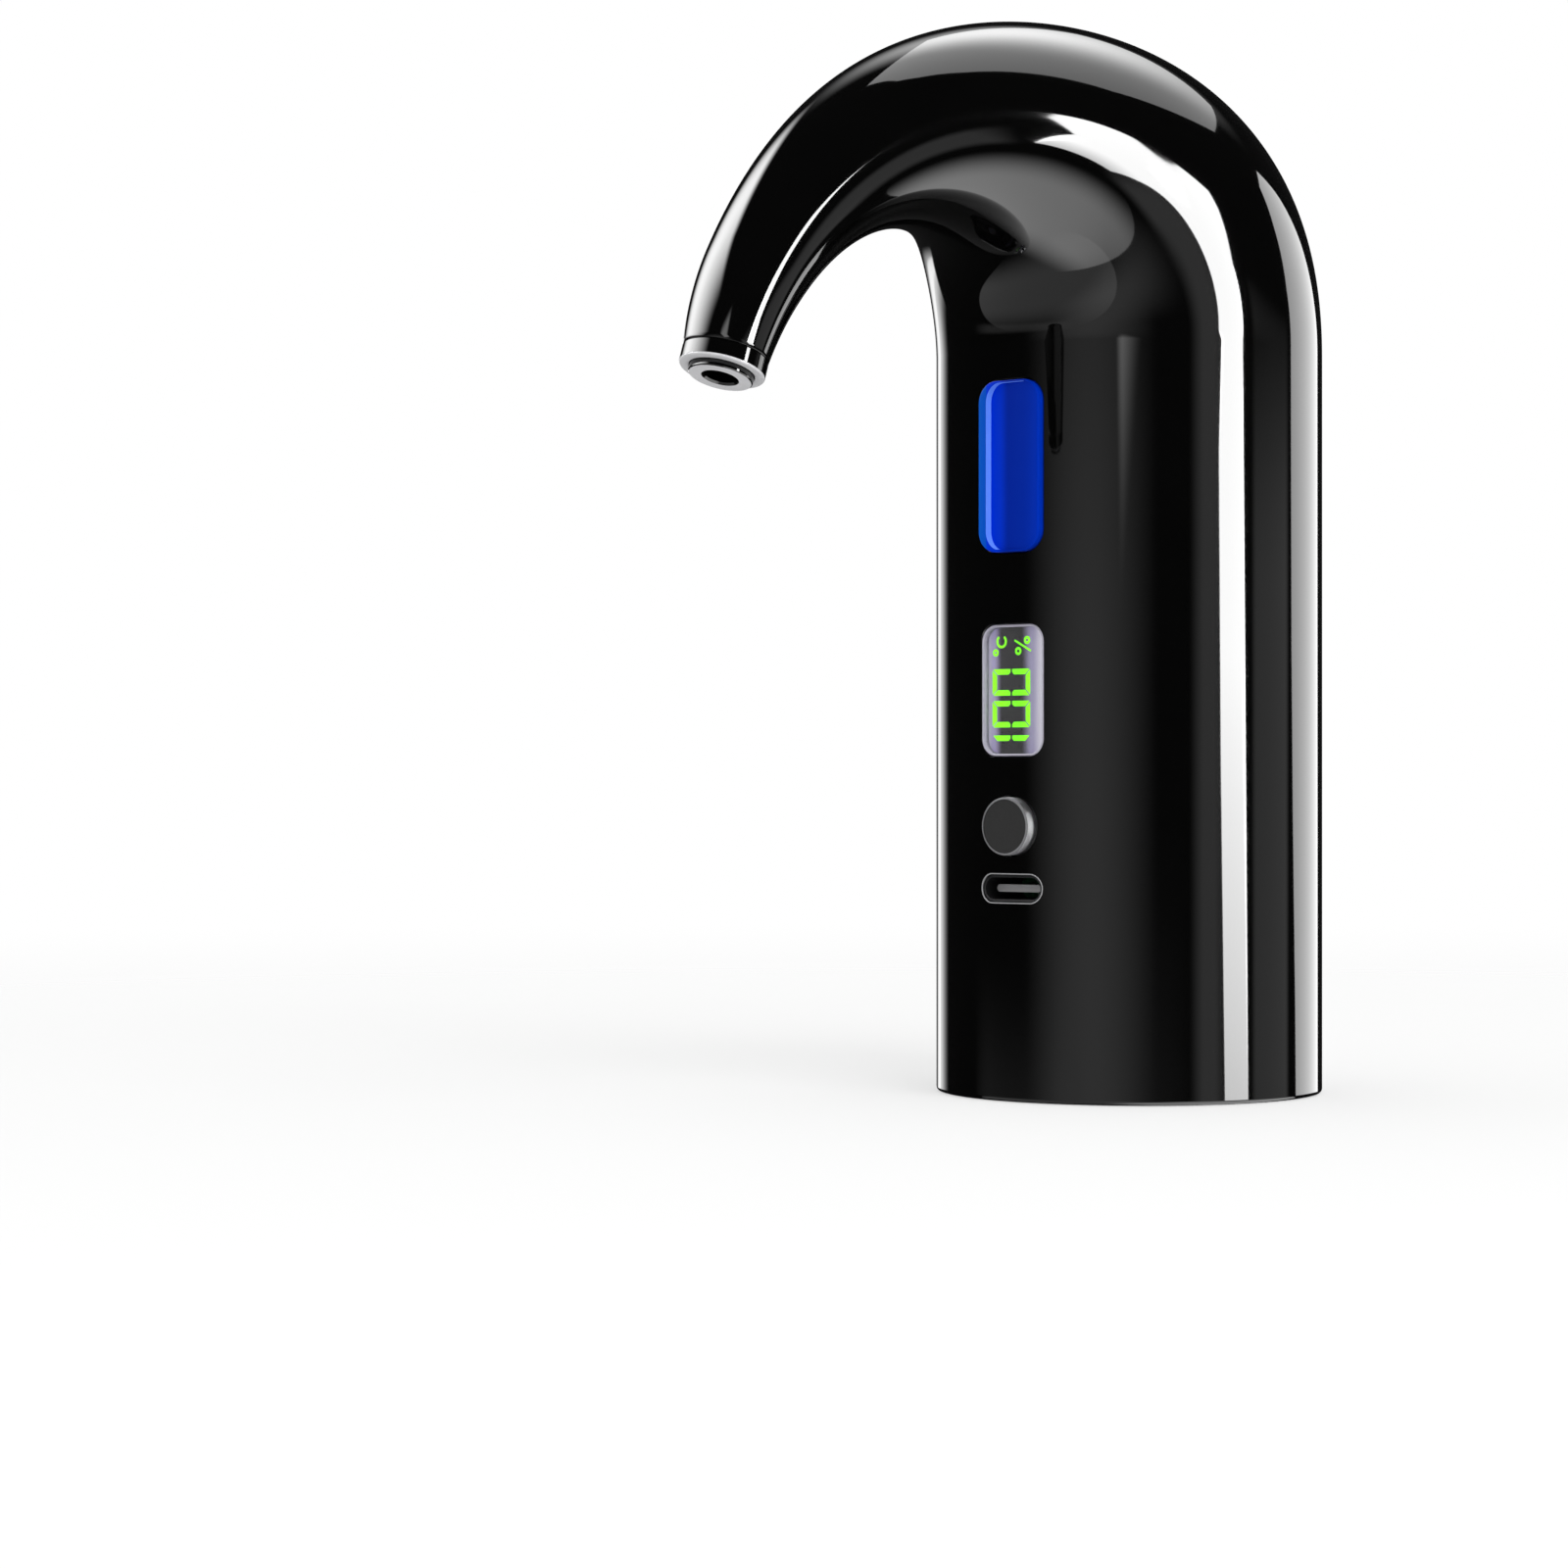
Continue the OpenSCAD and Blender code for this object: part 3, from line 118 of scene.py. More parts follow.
@dataclass(frozen=True)
class Finish:
    """A surface with a base colour, a second colour, and a pattern that also drives gloss and relief."""

    name: str
    base: str
    tint: str
    grain_mm: float
    roughness: tuple[float, float]
    pattern: Pattern = Pattern.MOTTLE
    stretch: tuple[float, float, float] = (1.0, 1.0, 1.0)
    relief_mm: float = 0.0
    metallic: float = 0.0
    specular: float = 0.5
    ior: float = 1.5
    transmission: float = 0.0
    glow: float = 0.0

    def pattern_socket(self, tree: NodeTree) -> NodeSocket:
        """Draws the pattern.

        Args:
            tree: the material's node tree.

        Returns:
            The pattern's level, from 0 to 1.
        """
        coords = add(tree, "ShaderNodeTexCoord")
        scale = [s / (self.grain_mm * MM) for s in self.stretch]
        placed = add(tree, "ShaderNodeMapping", {"Vector": coords.outputs["Object"], "Scale": scale})
        texture = add(tree, self.pattern.value, {"Vector": placed.outputs["Vector"], "Scale": 1.0})
        if self.pattern is Pattern.CELLS:
            return texture.outputs["Distance"]
        return texture.outputs["Fac"]

    def colour_socket(self, tree: NodeTree, level: NodeSocket) -> NodeSocket:
        """Mixes the two colours by the pattern.

        Args:
            tree: the material's node tree.
            level: the pattern's level.

        Returns:
            The surface colour.
        """
        mix = add(tree, "ShaderNodeMix", {0: level, 6: linear(self.base), 7: linear(self.tint)},
                  data_type="RGBA")
        return mix.outputs[2]

    def material(self) -> Material:
        """Returns the finish as a Blender material, made once, with its colour as a glow where it has one."""
        made = bpy.data.materials.get(self.name)
        if made:
            return made
        made = blank(self.name)
        tree = made.node_tree
        level = self.pattern_socket(tree)
        colour = self.colour_socket(tree, level)
        gloss = add(tree, "ShaderNodeMapRange",
                    {"Value": level, "To Min": self.roughness[0], "To Max": self.roughness[1]})
        shader = add(tree, "ShaderNodeBsdfPrincipled", {
            "Base Color": colour,
            "Roughness": gloss.outputs["Result"],
            "Metallic": self.metallic,
            "Specular IOR Level": self.specular,
            "IOR": self.ior,
            "Transmission Weight": self.transmission,
        })
        if self.glow:
            tree.links.new(colour, shader.inputs["Emission Color"])
            shader.inputs["Emission Strength"].default_value = self.glow
        if self.relief_mm:
            relief = add(tree, "ShaderNodeBump", {"Height": level, "Distance": self.relief_mm * MM})
            tree.links.new(relief.outputs["Normal"], shader.inputs["Normal"])
        add(tree, "ShaderNodeOutputMaterial", {"Surface": shader.outputs["BSDF"]})
        return made


@dataclass(frozen=True)
class ShadedFinish(Finish):
    """A finish whose colour runs through several stops along X, with its pattern laid over."""

    stops: tuple[tuple[float, str], ...] = ()
    half_width_mm: float = 5.0
    overlay: float = 0.06

    def colour_socket(self, tree: NodeTree, level: NodeSocket) -> NodeSocket:
        """Runs the colour across the piece and tints it by the pattern.

        Args:
            tree: the material's node tree.
            level: the pattern's level.

        Returns:
            The surface colour.
        """
        half = self.half_width_mm * MM
        across = add(tree, "ShaderNodeMapRange",
                     {"Value": own_axes(tree).outputs["X"], "From Min": -half, "From Max": half})
        ramp = add(tree, "ShaderNodeValToRGB", {"Fac": across.outputs["Result"]})
        ramp.color_ramp.interpolation = "EASE"
        for _ in range(len(self.stops) - 2):
            ramp.color_ramp.elements.new(0.5)
        for element, (place, code) in zip(ramp.color_ramp.elements, self.stops):
            element.position = place
            element.color = linear(code)
        share = add(tree, "ShaderNodeMapRange", {"Value": level, "To Max": self.overlay})
        mix = add(tree, "ShaderNodeMix",
                  {0: share.outputs["Result"], 6: ramp.outputs["Color"], 7: linear(self.tint)},
                  data_type="RGBA")
        return mix.outputs[2]


# ABS shell, sprayed with black lacquer and polished: mirror gloss with the faintest waviness.
PIANO_LACQUER = Finish("black_lacquer_polished_abs", "030303", "050505", 9.0, (0.03, 0.05), relief_mm=0.002)
# Blue ABS cap, moulded and polished, glossy. Its colour across X paints light: a paler blue strip on the left
# border is a painted highlight, and the face runs from brighter at the left through a darker middle as a
# painted reflection.
BLUE_CAP = ShadedFinish("blue_abs_painted_reflection", "0030c8", "0030d0", 3.0, (0.22, 0.3), specular=0.01,
                        stops=((0.0, "0a5cc8"), (0.135, "0852c4"), (0.155, "0034d8"), (0.3, "0032cc"),
                               (0.48, "00259a"), (0.7, "00279e"), (1.0, "002eb0")),
                        half_width_mm=4.7)
# The same ABS, coloured pale blue on the left walls of the dish's step as a painted highlight.
BLUE_PAINTED_HIGHLIGHT = Finish("blue_abs_painted_highlight", "5b8cff", "6f9bff", 3.0, (0.3, 0.36), specular=0.03)
# Dark grey ABS with a fine spark-eroded grain: soft sheen, no clear reflections.
DARK_SATIN = Finish("dark_grey_abs_fine_grain", "242424", "2a2a2a", 0.35, (0.6, 0.7), specular=0.06,
                    relief_mm=0.01)
# Grey ABS, coloured pale on the mode button's front rim and chamfer: a painted highlight line round the face.
GREY_PAINTED_HIGHLIGHT = Finish("grey_abs_painted_highlight", "6e6e70", "7c7c7e", 0.5, (0.4, 0.5), specular=0.04)
# Satin-chromed zinc: a soft bright band where a lamp stands opposite, grey elsewhere.
SATIN_CHROME = Finish("chromed_zinc_satin", "e6e6ea", "f2f2f6", 1.5, (0.42, 0.5), metallic=1.0)
# Thin trim round the socket, coloured pale grey as a painted highlight along the slot's rim.
TRIM_PAINTED_HIGHLIGHT = Finish("grey_trim_painted_highlight", "98989a", "a6a6a8", 0.8, (0.4, 0.5), specular=0.06)
# Window lining, coloured lavender silver as a painted highlight round the window's edge, with a soft sheen.
LINING_PAINTED_HIGHLIGHT = Finish("lining_painted_highlight", "a6a3b0", "bcb9c8", 0.6, (0.4, 0.5), specular=0.15)
# Acrylic window: clear and polished.
CLEAR_ACRYLIC = Finish("clear_acrylic_polished", "fbfbfd", "ffffff", 4.0, (0.0, 0.01), specular=0.2, ior=1.49,
                       transmission=1.0)
# Liquid-crystal cell: its colour across X paints light, with bright lavender sides as painted reflection and a
# dark middle, and it glows as painted light in place of the light that the pane keeps from it.
CRYSTAL_CELL = ShadedFinish("lcd_cell_painted_light", "8d8a99", "55535e", 6.0, (0.25, 0.3), specular=0.1,
                            stops=((0.0, "cac6d4"), (0.1, "a69cc2"), (0.24, "141216"), (0.56, "060607"),
                                   (0.74, "9a94b2"), (0.9, "d2cfda")),
                            half_width_mm=4.6, glow=0.35)
# Lit segments of the display: even bright green, a little yellower to the right.
LIT_SEGMENT = ShadedFinish("lit_segment_green", "7cff00", "b0ff00", 2.0, (0.4, 0.5), specular=0.05,
                           stops=((0.0, "8cff00"), (0.5, "72ff00"), (1.0, "a2ff10")),
                           half_width_mm=3.6, glow=0.7)
# Polypropylene, injection moulded, natural pale grey: soft gloss with faint flow clouds. On the nozzle's lip
# the same pale grey is a painted highlight.
PALE_POLYPROPYLENE = Finish("pale_polypropylene_moulded", "c9c9cb", "d6d6d8", 5.0, (0.3, 0.4))
# White ABS, moulded: clean with a slight satin.
WHITE_ABS = Finish("white_abs_moulded", "e4e3df", "efeeeb", 4.0, (0.35, 0.45))
# Black glass-filled nylon, moulded: matt with fine fibre clouds.
FILLED_NYLON = Finish("black_filled_nylon_moulded", "161617", "222224", 0.7, (0.5, 0.65), relief_mm=0.02)
# Stamped steel of the socket shell, coloured near black as painted shade of the recess, so that only its blade
# shows.
SOCKET_PAINTED_SHADE = Finish("socket_steel_painted_shade", "141415", "1e1e20", 0.5, (0.45, 0.55), specular=0.2)
# Dark nylon blade of the socket: flat grey.
GREY_NYLON = Finish("grey_nylon_moulded", "6c6c6d", "747475", 0.6, (0.5, 0.6))
# Glass-epoxy board with green solder mask: tracks show as slightly lighter lines.
SOLDER_MASK = Finish("glass_epoxy_green_mask", "0f4a2a", "1d6a3c", 1.6, (0.3, 0.45), pattern=Pattern.TRACES)
# Zinc-plated steel screws: pale metal with faint tumbling marks.
ZINC_SCREW = Finish("zinc_plated_steel_tumbled", "9c9ea0", "b9bbbd", 0.4, (0.3, 0.45), metallic=1.0)
# Dark food-grade silicone, moulded: matt, with a little dust bloom.
DARK_SILICONE = Finish("dark_silicone_moulded", "2a2a2c", "3a3a3c", 1.2, (0.55, 0.7), ior=1.41,
                       relief_mm=0.01)
# Red silicone ring.
RED_SILICONE = Finish("red_silicone_moulded", "a8281f", "bb3a2c", 0.9, (0.45, 0.6), ior=1.41)
# Drawn stainless tube: fine lines along the tube, which spread its highlights sideways.
DRAWN_STEEL = Finish("stainless_steel_drawn", "b9babc", "cfd0d2", 0.25, (0.18, 0.32),
                     stretch=(1.0, 1.0, 0.02), metallic=1.0)
# Milky silicone hose, extruded.
MILKY_HOSE = Finish("milky_silicone_extruded", "d9dad8", "e8e8e6", 2.0, (0.3, 0.4), ior=1.41)
# Heat-shrunk polyester wrap of the cell: blue film with faint wrinkles.
SHRINK_FILM = Finish("blue_shrink_film", "2a5aa8", "3567b6", 1.8, (0.25, 0.4), relief_mm=0.03)
# Deep-drawn and nickelled steel can.
NICKEL_CAN = Finish("nickelled_steel_deep_drawn", "a3a4a6", "b6b7b9", 0.3, (0.22, 0.35),
                    stretch=(1.0, 1.0, 0.05), metallic=1.0)
# Sintered ferrite: dark, dull and grainy.
FERRITE = Finish("ferrite_sintered", "2b2c2e", "3b3c3e", 0.5, (0.55, 0.7), pattern=Pattern.CELLS)
# Enamelled copper wire, wound: fine parallel turns, about 0.3 mm apart.
COPPER_WINDING = Finish("enamelled_copper_wound", "8e4a22", "c27a45", 0.3, (0.25, 0.4), pattern=Pattern.BANDS,
                        relief_mm=0.03, metallic=1.0)
# Turned brass: fine tool rings.
TURNED_BRASS = Finish("brass_turned", "b08d3e", "c9a657", 0.3, (0.22, 0.34), pattern=Pattern.BANDS,
                      metallic=1.0)
# Extruded PVC of the leads.
RED_PVC = Finish("red_pvc_extruded", "a31d1d", "b82b2b", 1.0, (0.4, 0.5))
BLACK_PVC = Finish("black_pvc_extruded", "18181a", "242426", 1.0, (0.4, 0.5))


def block(size: tuple[float, float, float], corner: float = 0.0, steps: int = 8) -> BMesh:
    """Makes a block whose corners are rounded about the Y axis.

    Args:
        size: width, depth and height in millimetres.
        corner: corner radius in millimetres.
        steps: segments of each corner.

    Returns:
        The block, centred on the origin, in metres.
    """
    bm = bmesh.new()
    bmesh.ops.create_cube(bm, size=1.0)
    bmesh.ops.scale(bm, vec=Vector(size) * MM, verts=bm.verts)
    if corner:
        upright = [e for e in bm.edges if abs((e.verts[0].co - e.verts[1].co).y) > 0.5 * size[1] * MM]
        soften(bm, upright, corner, steps)
    return bm


def soften(bm: BMesh, edges: list[BMEdge], radius: float, steps: int = 3) -> None:
    """Rounds edges.

    Args:
        bm: the mesh.
        edges: the edges to round.
        radius: the bevel's width in millimetres.
        steps: segments across the bevel.
    """
    bmesh.ops.bevel(bm, geom=edges, offset=radius * MM, offset_type="OFFSET", segments=steps, profile=0.5,
                    affect="EDGES", material=-1)


def rim(bm: BMesh, axis: int, place: float) -> list[BMEdge]:
    """Finds the edges that lie in one plane across an axis.

    Args:
        bm: the mesh.
        axis: 0, 1 or 2.
        place: the plane's place in metres.

    Returns:
        The edges in that plane whose two faces don't both lie in it.
    """
    flat = [e for e in bm.edges if all(abs(v.co[axis] - place) < 2e-6 for v in e.verts)]
    return [e for e in flat if any(abs(f.normal[axis]) < 0.9 for f in e.link_faces)]


def move(bm: BMesh, x: float, y: float, z: float) -> None:
    """Moves a whole mesh by millimetres."""
    bmesh.ops.translate(bm, vec=Vector((x, y, z)) * MM, verts=bm.verts)


def hollow(bm: BMesh, wall: float) -> None:
    """Takes the middle out of a block along Y, which leaves a sleeve.

    Args:
        bm: the block.
        wall: the sleeve's wall in millimetres.
    """
    caps = [f for f in bm.faces if abs(f.normal.y) > 0.9]
    bmesh.ops.inset_individual(bm, faces=caps, thickness=wall * MM, use_even_offset=True)
    loops = [e for f in caps for e in f.edges]
    bmesh.ops.delete(bm, geom=caps, context="FACES_ONLY")
    bmesh.ops.bridge_loops(bm, edges=loops)
    bmesh.ops.recalc_face_normals(bm, faces=bm.faces)


def turned(profile: list[tuple[float, float]], steps: int = 96) -> BMesh:
    """Turns a closed profile about Z, as on a lathe.

    Args:
        profile: radius and height of each corner in millimetres, in order.
        steps: segments round the axis.

    Returns:
        The turned solid in metres.
    """
    bm = bmesh.new()
    corners = [bm.verts.new((radius * MM, 0.0, height * MM)) for radius, height in profile]
    for first, second in zip(corners, corners[1:] + corners[:1]):
        if first.co.x > 0.0 or second.co.x > 0.0:
            bm.edges.new((first, second))
    bmesh.ops.spin(bm, geom=bm.verts[:] + bm.edges[:], cent=(0, 0, 0), axis=(0, 0, 1), angle=math.tau,
                   steps=steps, use_merge=True)
    bmesh.ops.remove_doubles(bm, verts=bm.verts, dist=1e-7)
    bmesh.ops.recalc_face_normals(bm, faces=bm.faces)
    return bm


def shape(name: str, bm: BMesh, sharp: float = 32.0) -> Object:
    """Turns a bmesh into an object that is shaded smooth apart from its sharp edges.

    Args:
        name: the object's name.
        bm: the mesh, which is freed.
        sharp: the angle in degrees past which an edge stays sharp.

    Returns:
        The object, at the origin.
    """
    bmesh.ops.recalc_face_normals(bm, faces=bm.faces)
    for face in bm.faces:
        face.smooth = True
    for edge in bm.edges:
        edge.smooth = edge.calc_face_angle(0.0) < math.radians(sharp)
    mesh = bpy.data.meshes.new(name)
    bm.to_mesh(mesh)
    bm.free()
    made = bpy.data.objects.new(name, mesh)
    bpy.context.scene.collection.objects.link(made)
    return made


def fit(obj: Object, body: str, slot: str, finish: Finish, *nodes: str) -> Object:
    """Gives a piece its finish, its body and the nodes that it stands for.

    Args:
        obj: the piece.
        body: the body that it rides on.
        slot: the record's material slot; not used.
        finish: its finish.
        nodes: the CAD nodes that it replaces.

    Returns:
        The piece.
    """
    obj.data.materials.append(finish.material())
    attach(obj, body)
    if nodes:
        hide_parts(*nodes)
    log.info("%s rides on %s as %s, %d faces", obj.name, body, finish.name, len(obj.data.polygons))
    return obj


def merged(parts: list[BMesh]) -> BMesh:
    """Joins several meshes into one.

    Args:
        parts: the meshes, which are freed.

    Returns:
        One mesh that holds them all.
    """
    whole = bmesh.new()
    for part in parts:
        passed = bpy.data.meshes.new("part")
        part.to_mesh(passed)
        part.free()
        whole.from_mesh(passed)
        bpy.data.meshes.remove(passed)
    return whole


@dataclass
class Station:
    """One ring of the housing: where it stands, and its outer and inner radius in metres."""

    place: Matrix
    outer: float
    inner: float


@dataclass
class Housing:
    """Body, arch and spout in one smooth shell, with the openings for the controls."""

    body: str = "dispenser_body"
    radius: float = 24.0
    wall: float = 2.0
    tip_wall: float = 1.2
    arch_z: float = 91.3
    crotch_r: float = 9.4
    bends: tuple[tuple[float, float, float], ...] = ((29.5, 66.0, 9.0), (51.0, 140.0, 9.0), (4.0, 151.0, 3.0))
    full_turn: float = 161.0
    taper_r: float = 2.1
    taper_turn: float = 80.4
    taper_power: float = 2.78
    steps: int = 160
    arch_rings: int = 180
    straight_rings: int = 12
    substeps: int = 20
    ease_turn: float = 139.5
    base_round: float = 0.5
    seam: float = 0.1

    def inside_radius(self, turn: float) -> float:
        """Gives the radius of the arch's inside curve. A bend has its new radius, its turn and its spread.

        Args:
            turn: degrees turned from upright.

        Returns:
            The radius in millimetres.
        """
        radius = before = self.crotch_r
        for after, at, spread in self.bends:
            radius += (after - before) / (1.0 + math.exp((at - turn) / spread))
            before = after
        return radius

    def section_radius(self, turn: float) -> float:
        """Gives the outer radius of the section at a turn in degrees, in millimetres."""
        fall = 1.0 + (turn / self.taper_turn) ** self.taper_power
        return self.taper_r + (self.radius - self.taper_r) / fall

    def stations(self) -> list[Station]:
        """Returns the rings from the rim to the end of the spout."""
        rings = []
        for i in range(self.straight_rings):
            height = self.arch_z * i / self.straight_rings
            rings.append(Station(Matrix.Translation((0.0, 0.0, height * MM)), self.radius * MM,
                                 (self.radius - self.wall) * MM))
        out, height = self.radius, self.arch_z
        count = self.arch_rings * self.substeps
        for i in range(count + 1):
            turn = self.full_turn * i / count
            if i % self.substeps == 0:
                rings.append(self.arch_station(turn, out, height))
            step = math.radians(self.full_turn / count)
            middle = turn + math.degrees(step) / 2
            length = self.inside_radius(middle) * step
            out += length * math.sin(math.radians(middle))
            height += length * math.cos(math.radians(middle))
        self.ease(rings)
        return rings

    def ease(self, rings: list[Station]) -> None:
        """Spreads the last bend evenly over the spout's end, so that gloss runs down to the seam unbroken.

        Args:
            rings: the housing's rings, of which the last stretch is moved.
        """
        first = self.straight_rings + round(self.arch_rings * self.ease_turn / self.full_turn)
        begin, end = rings[first].place.copy(), rings[-1].place.copy()
        start, stop = begin.translation, end.translation
        step = start - rings[first - 1].place.translation
        span = (stop - start).length
        corner = start + step.normalized() * 0.5 * span
        wide, wall = rings[first].outer, rings[first].outer - rings[first].inner
        fall = (wide - rings[first - 1].outer) / step.length * span
        drop = rings[-1].outer - wide
        thin = rings[-1].outer - rings[-1].inner - wall
        for i, ring in enumerate(rings[first:]):
            share = i / (len(rings) - 1 - first)
            middle = start.lerp(corner, share).lerp(corner.lerp(stop, share), share)
            turn = begin.to_quaternion().slerp(end.to_quaternion(), share)
            ring.place = Matrix.Translation(middle) @ turn.to_matrix().to_4x4()
            ring.outer = wide + fall * share + (drop - fall) * share ** 2
            ring.inner = ring.outer - wall - thin * share

    def arch_station(self, turn: float, out: float, height: float) -> Station:
        """Stands one ring on the inside curve.

        Args:
            turn: degrees turned from upright.
            out: the inside curve's reach in millimetres.
            height: its height in millimetres.

        Returns:
            The ring.
        """
        radius = self.section_radius(turn)
        angle = math.radians(turn)
        middle = Vector((0.0, -(out - radius * math.cos(angle)), height + radius * math.sin(angle))) * MM
        wall = self.wall + (self.tip_wall - self.wall) * turn / self.full_turn
        place = Matrix.Translation(middle) @ Matrix.Rotation(angle, 4, "X")
        return Station(place, radius * MM, (radius - wall) * MM)

    def end_frame(self) -> Matrix:
        """Returns the place of the spout's end, with Z along the way out."""
        return self.stations()[-1].place

    def shell(self) -> BMesh:
        """Returns the closed shell: one ring extruded up the outside, down the inside and onto itself."""
        rings = self.stations()
        rounds = [(r.place, r.outer) for r in rings] + [(r.place, r.inner) for r in reversed(rings)]
        rounds.append(rounds[0])
        bm = bmesh.new()
        start = bmesh.ops.create_circle(bm, segments=self.steps, radius=rounds[0][1], matrix=rounds[0][0])
        edges = list({e for v in start["verts"] for e in v.link_edges})
        spout_end = []
        for i, ((last_place, last_radius), (place, radius)) in enumerate(zip(rounds, rounds[1:]), start=1):
            grown = bmesh.ops.extrude_edge_only(bm, edges=edges)["geom"]
            verts = [g for g in grown if isinstance(g, BMVert)]
            edges = [g for g in grown if isinstance(g, BMEdge) and set(g.verts) <= set(verts)]
            step = place @ Matrix.Scale(radius / last_radius, 4) @ last_place.inverted()
            bmesh.ops.transform(bm, matrix=step, verts=verts)
            if i == len(rings) - 1:
                spout_end = edges
        bmesh.ops.remove_doubles(bm, verts=bm.verts, dist=1e-6)
        bmesh.ops.recalc_face_normals(bm, faces=bm.faces)
        outer = 0.99 * self.radius * MM
        base = [e for e in bm.edges if all(v.co.z < 1e-6 and v.co.xy.length > outer for v in e.verts)]
        soften(bm, base, self.base_round, 3)
        soften(bm, spout_end, self.seam, 2)
        return bm

    def cut(self, obj: Object, openings: list[BMesh]) -> None:
        """Cuts the openings for the controls.

        Args:
            obj: the shell.
            openings: closed blocks to take away, which are freed.
        """
        for i, opening in enumerate(openings):
            cutter = shape(f"opening_{i}", opening)
            cut = obj.modifiers.new(f"cut_{i}", "BOOLEAN")
            cut.operation = "DIFFERENCE"
            cut.solver = "EXACT"
            cut.object = cutter
        whole = obj.evaluated_get(bpy.context.evaluated_depsgraph_get())
        plain, obj.data = obj.data, bpy.data.meshes.new_from_object(whole)
        bpy.data.meshes.remove(plain)
        for cut in list(obj.modifiers):
            cutter = cut.object
            obj.modifiers.remove(cut)
            block_mesh = cutter.data
            bpy.data.objects.remove(cutter)
            bpy.data.meshes.remove(block_mesh)
        obj.data.name = obj.name
        obj.data.materials.clear()

    def true_normals(self, mesh: Mesh) -> None:
        """Gives the round of the body its true normals, so that gloss runs on unbroken beside the openings.

        Args:
            mesh: the cut shell.
        """
        normals = [Vector((0.0, 0.0, 0.0)) for _ in mesh.loops]
        low, high = 0.9 * self.base_round * MM, (self.arch_z + 0.01) * MM
        for face in mesh.polygons:
            for i in face.loop_indices:
                point = mesh.vertices[mesh.loops[i].vertex_index].co
                outwards = Vector((point.x, point.y, 0.0))
                if not low < point.z < high or abs(outwards.length - self.radius * MM) > 0.02 * MM:
                    continue
                outwards.normalize()
                if face.normal.dot(outwards) > 0.97:
                    normals[i] = outwards
        mesh.normals_split_custom_set(normals)

    def build(self, openings: list[BMesh]) -> None:
        """Makes the shell, cuts it and dresses it.

        Args:
            openings: closed blocks to take away.
        """
        made = shape("housing_shell", self.shell(), 40.0)
        self.cut(made, openings)
        self.true_normals(made.data)
        fit(made, self.body, "body_gloss", PIANO_LACQUER, "left_housing", "right_housing")


@dataclass
class Nozzle:
    """End of the spout: a black band under a fine seam, a lip coloured pale as a painted highlight, and the
    tube end that stands out of it.
    """

    housing: Housing
    body: str = "dispenser_body"
    radius: float = 4.875
    height: float = 2.0
    wall: float = 0.95
    edge: float = 0.12
    lip_h: float = 0.22
    lip_w: float = 1.15
    proud: float = 0.8
    seat: float = 0.5
    head_r: float = 3.66
    socket_r: float = 3.3
    bore_r: float = 1.9
    socket_h: float = 3.6

    def piece(self, name: str, profile: list[tuple[float, float]]) -> Object:
        """Turns a profile about the way out of the spout.

        Args:
            name: the piece's name.
            profile: radius and height of each corner, in millimetres.

        Returns:
            The piece.
        """
        bm = turned(profile)
        bmesh.ops.transform(bm, matrix=self.housing.end_frame(), verts=bm.verts)
        return shape(name, bm, 28.0)

    def build(self) -> None:
        """Makes and dresses the band, the lip and the tube end."""
        inner = self.radius - self.wall
        top = self.height - self.lip_h
        band = [(inner, 0.02), (self.radius - self.edge, 0.02), (self.radius, 0.02 + self.edge),
                (self.radius, top), (inner, top)]
        fit(self.piece("nozzle_band", band), self.body, "body_gloss", PIANO_LACQUER, "nozzle_ring")
        mouth = self.radius - self.lip_w
        lip = [(mouth, top), (self.radius - 0.02, top), (self.radius - 0.04, self.height - 0.1),
               (self.radius - 0.12, self.height), (mouth + 0.08, self.height), (mouth, self.height - 0.08)]
        # The lip is pale grey as a painted highlight: it stands in for the light that the spout's end face
        # catches.
        fit(self.piece("nozzle_lip", lip), self.body, "outlet_pale", PALE_POLYPROPYLENE)
        front = self.height + self.proud
        edge = self.edge
        tube = [(self.bore_r, front - 2.0 * edge), (self.bore_r + 2.0 * edge, front),
                (self.head_r - edge, front), (self.head_r, front - edge), (self.head_r, self.seat),
                (self.socket_r, self.seat), (self.socket_r, -self.socket_h), (self.bore_r, -self.socket_h)]
        made = self.piece("nozzle_tube_end", tube)
        out = self.housing.end_frame().to_3x3() @ UP
        for face in made.data.polygons:
            face.material_index = 0 if face.normal.dot(out) > 0.9 else 1
        fit(made, self.body, "outlet_pale", PALE_POLYPROPYLENE, "nozzle_insert")
        made.data.materials.append(PIANO_LACQUER.material())


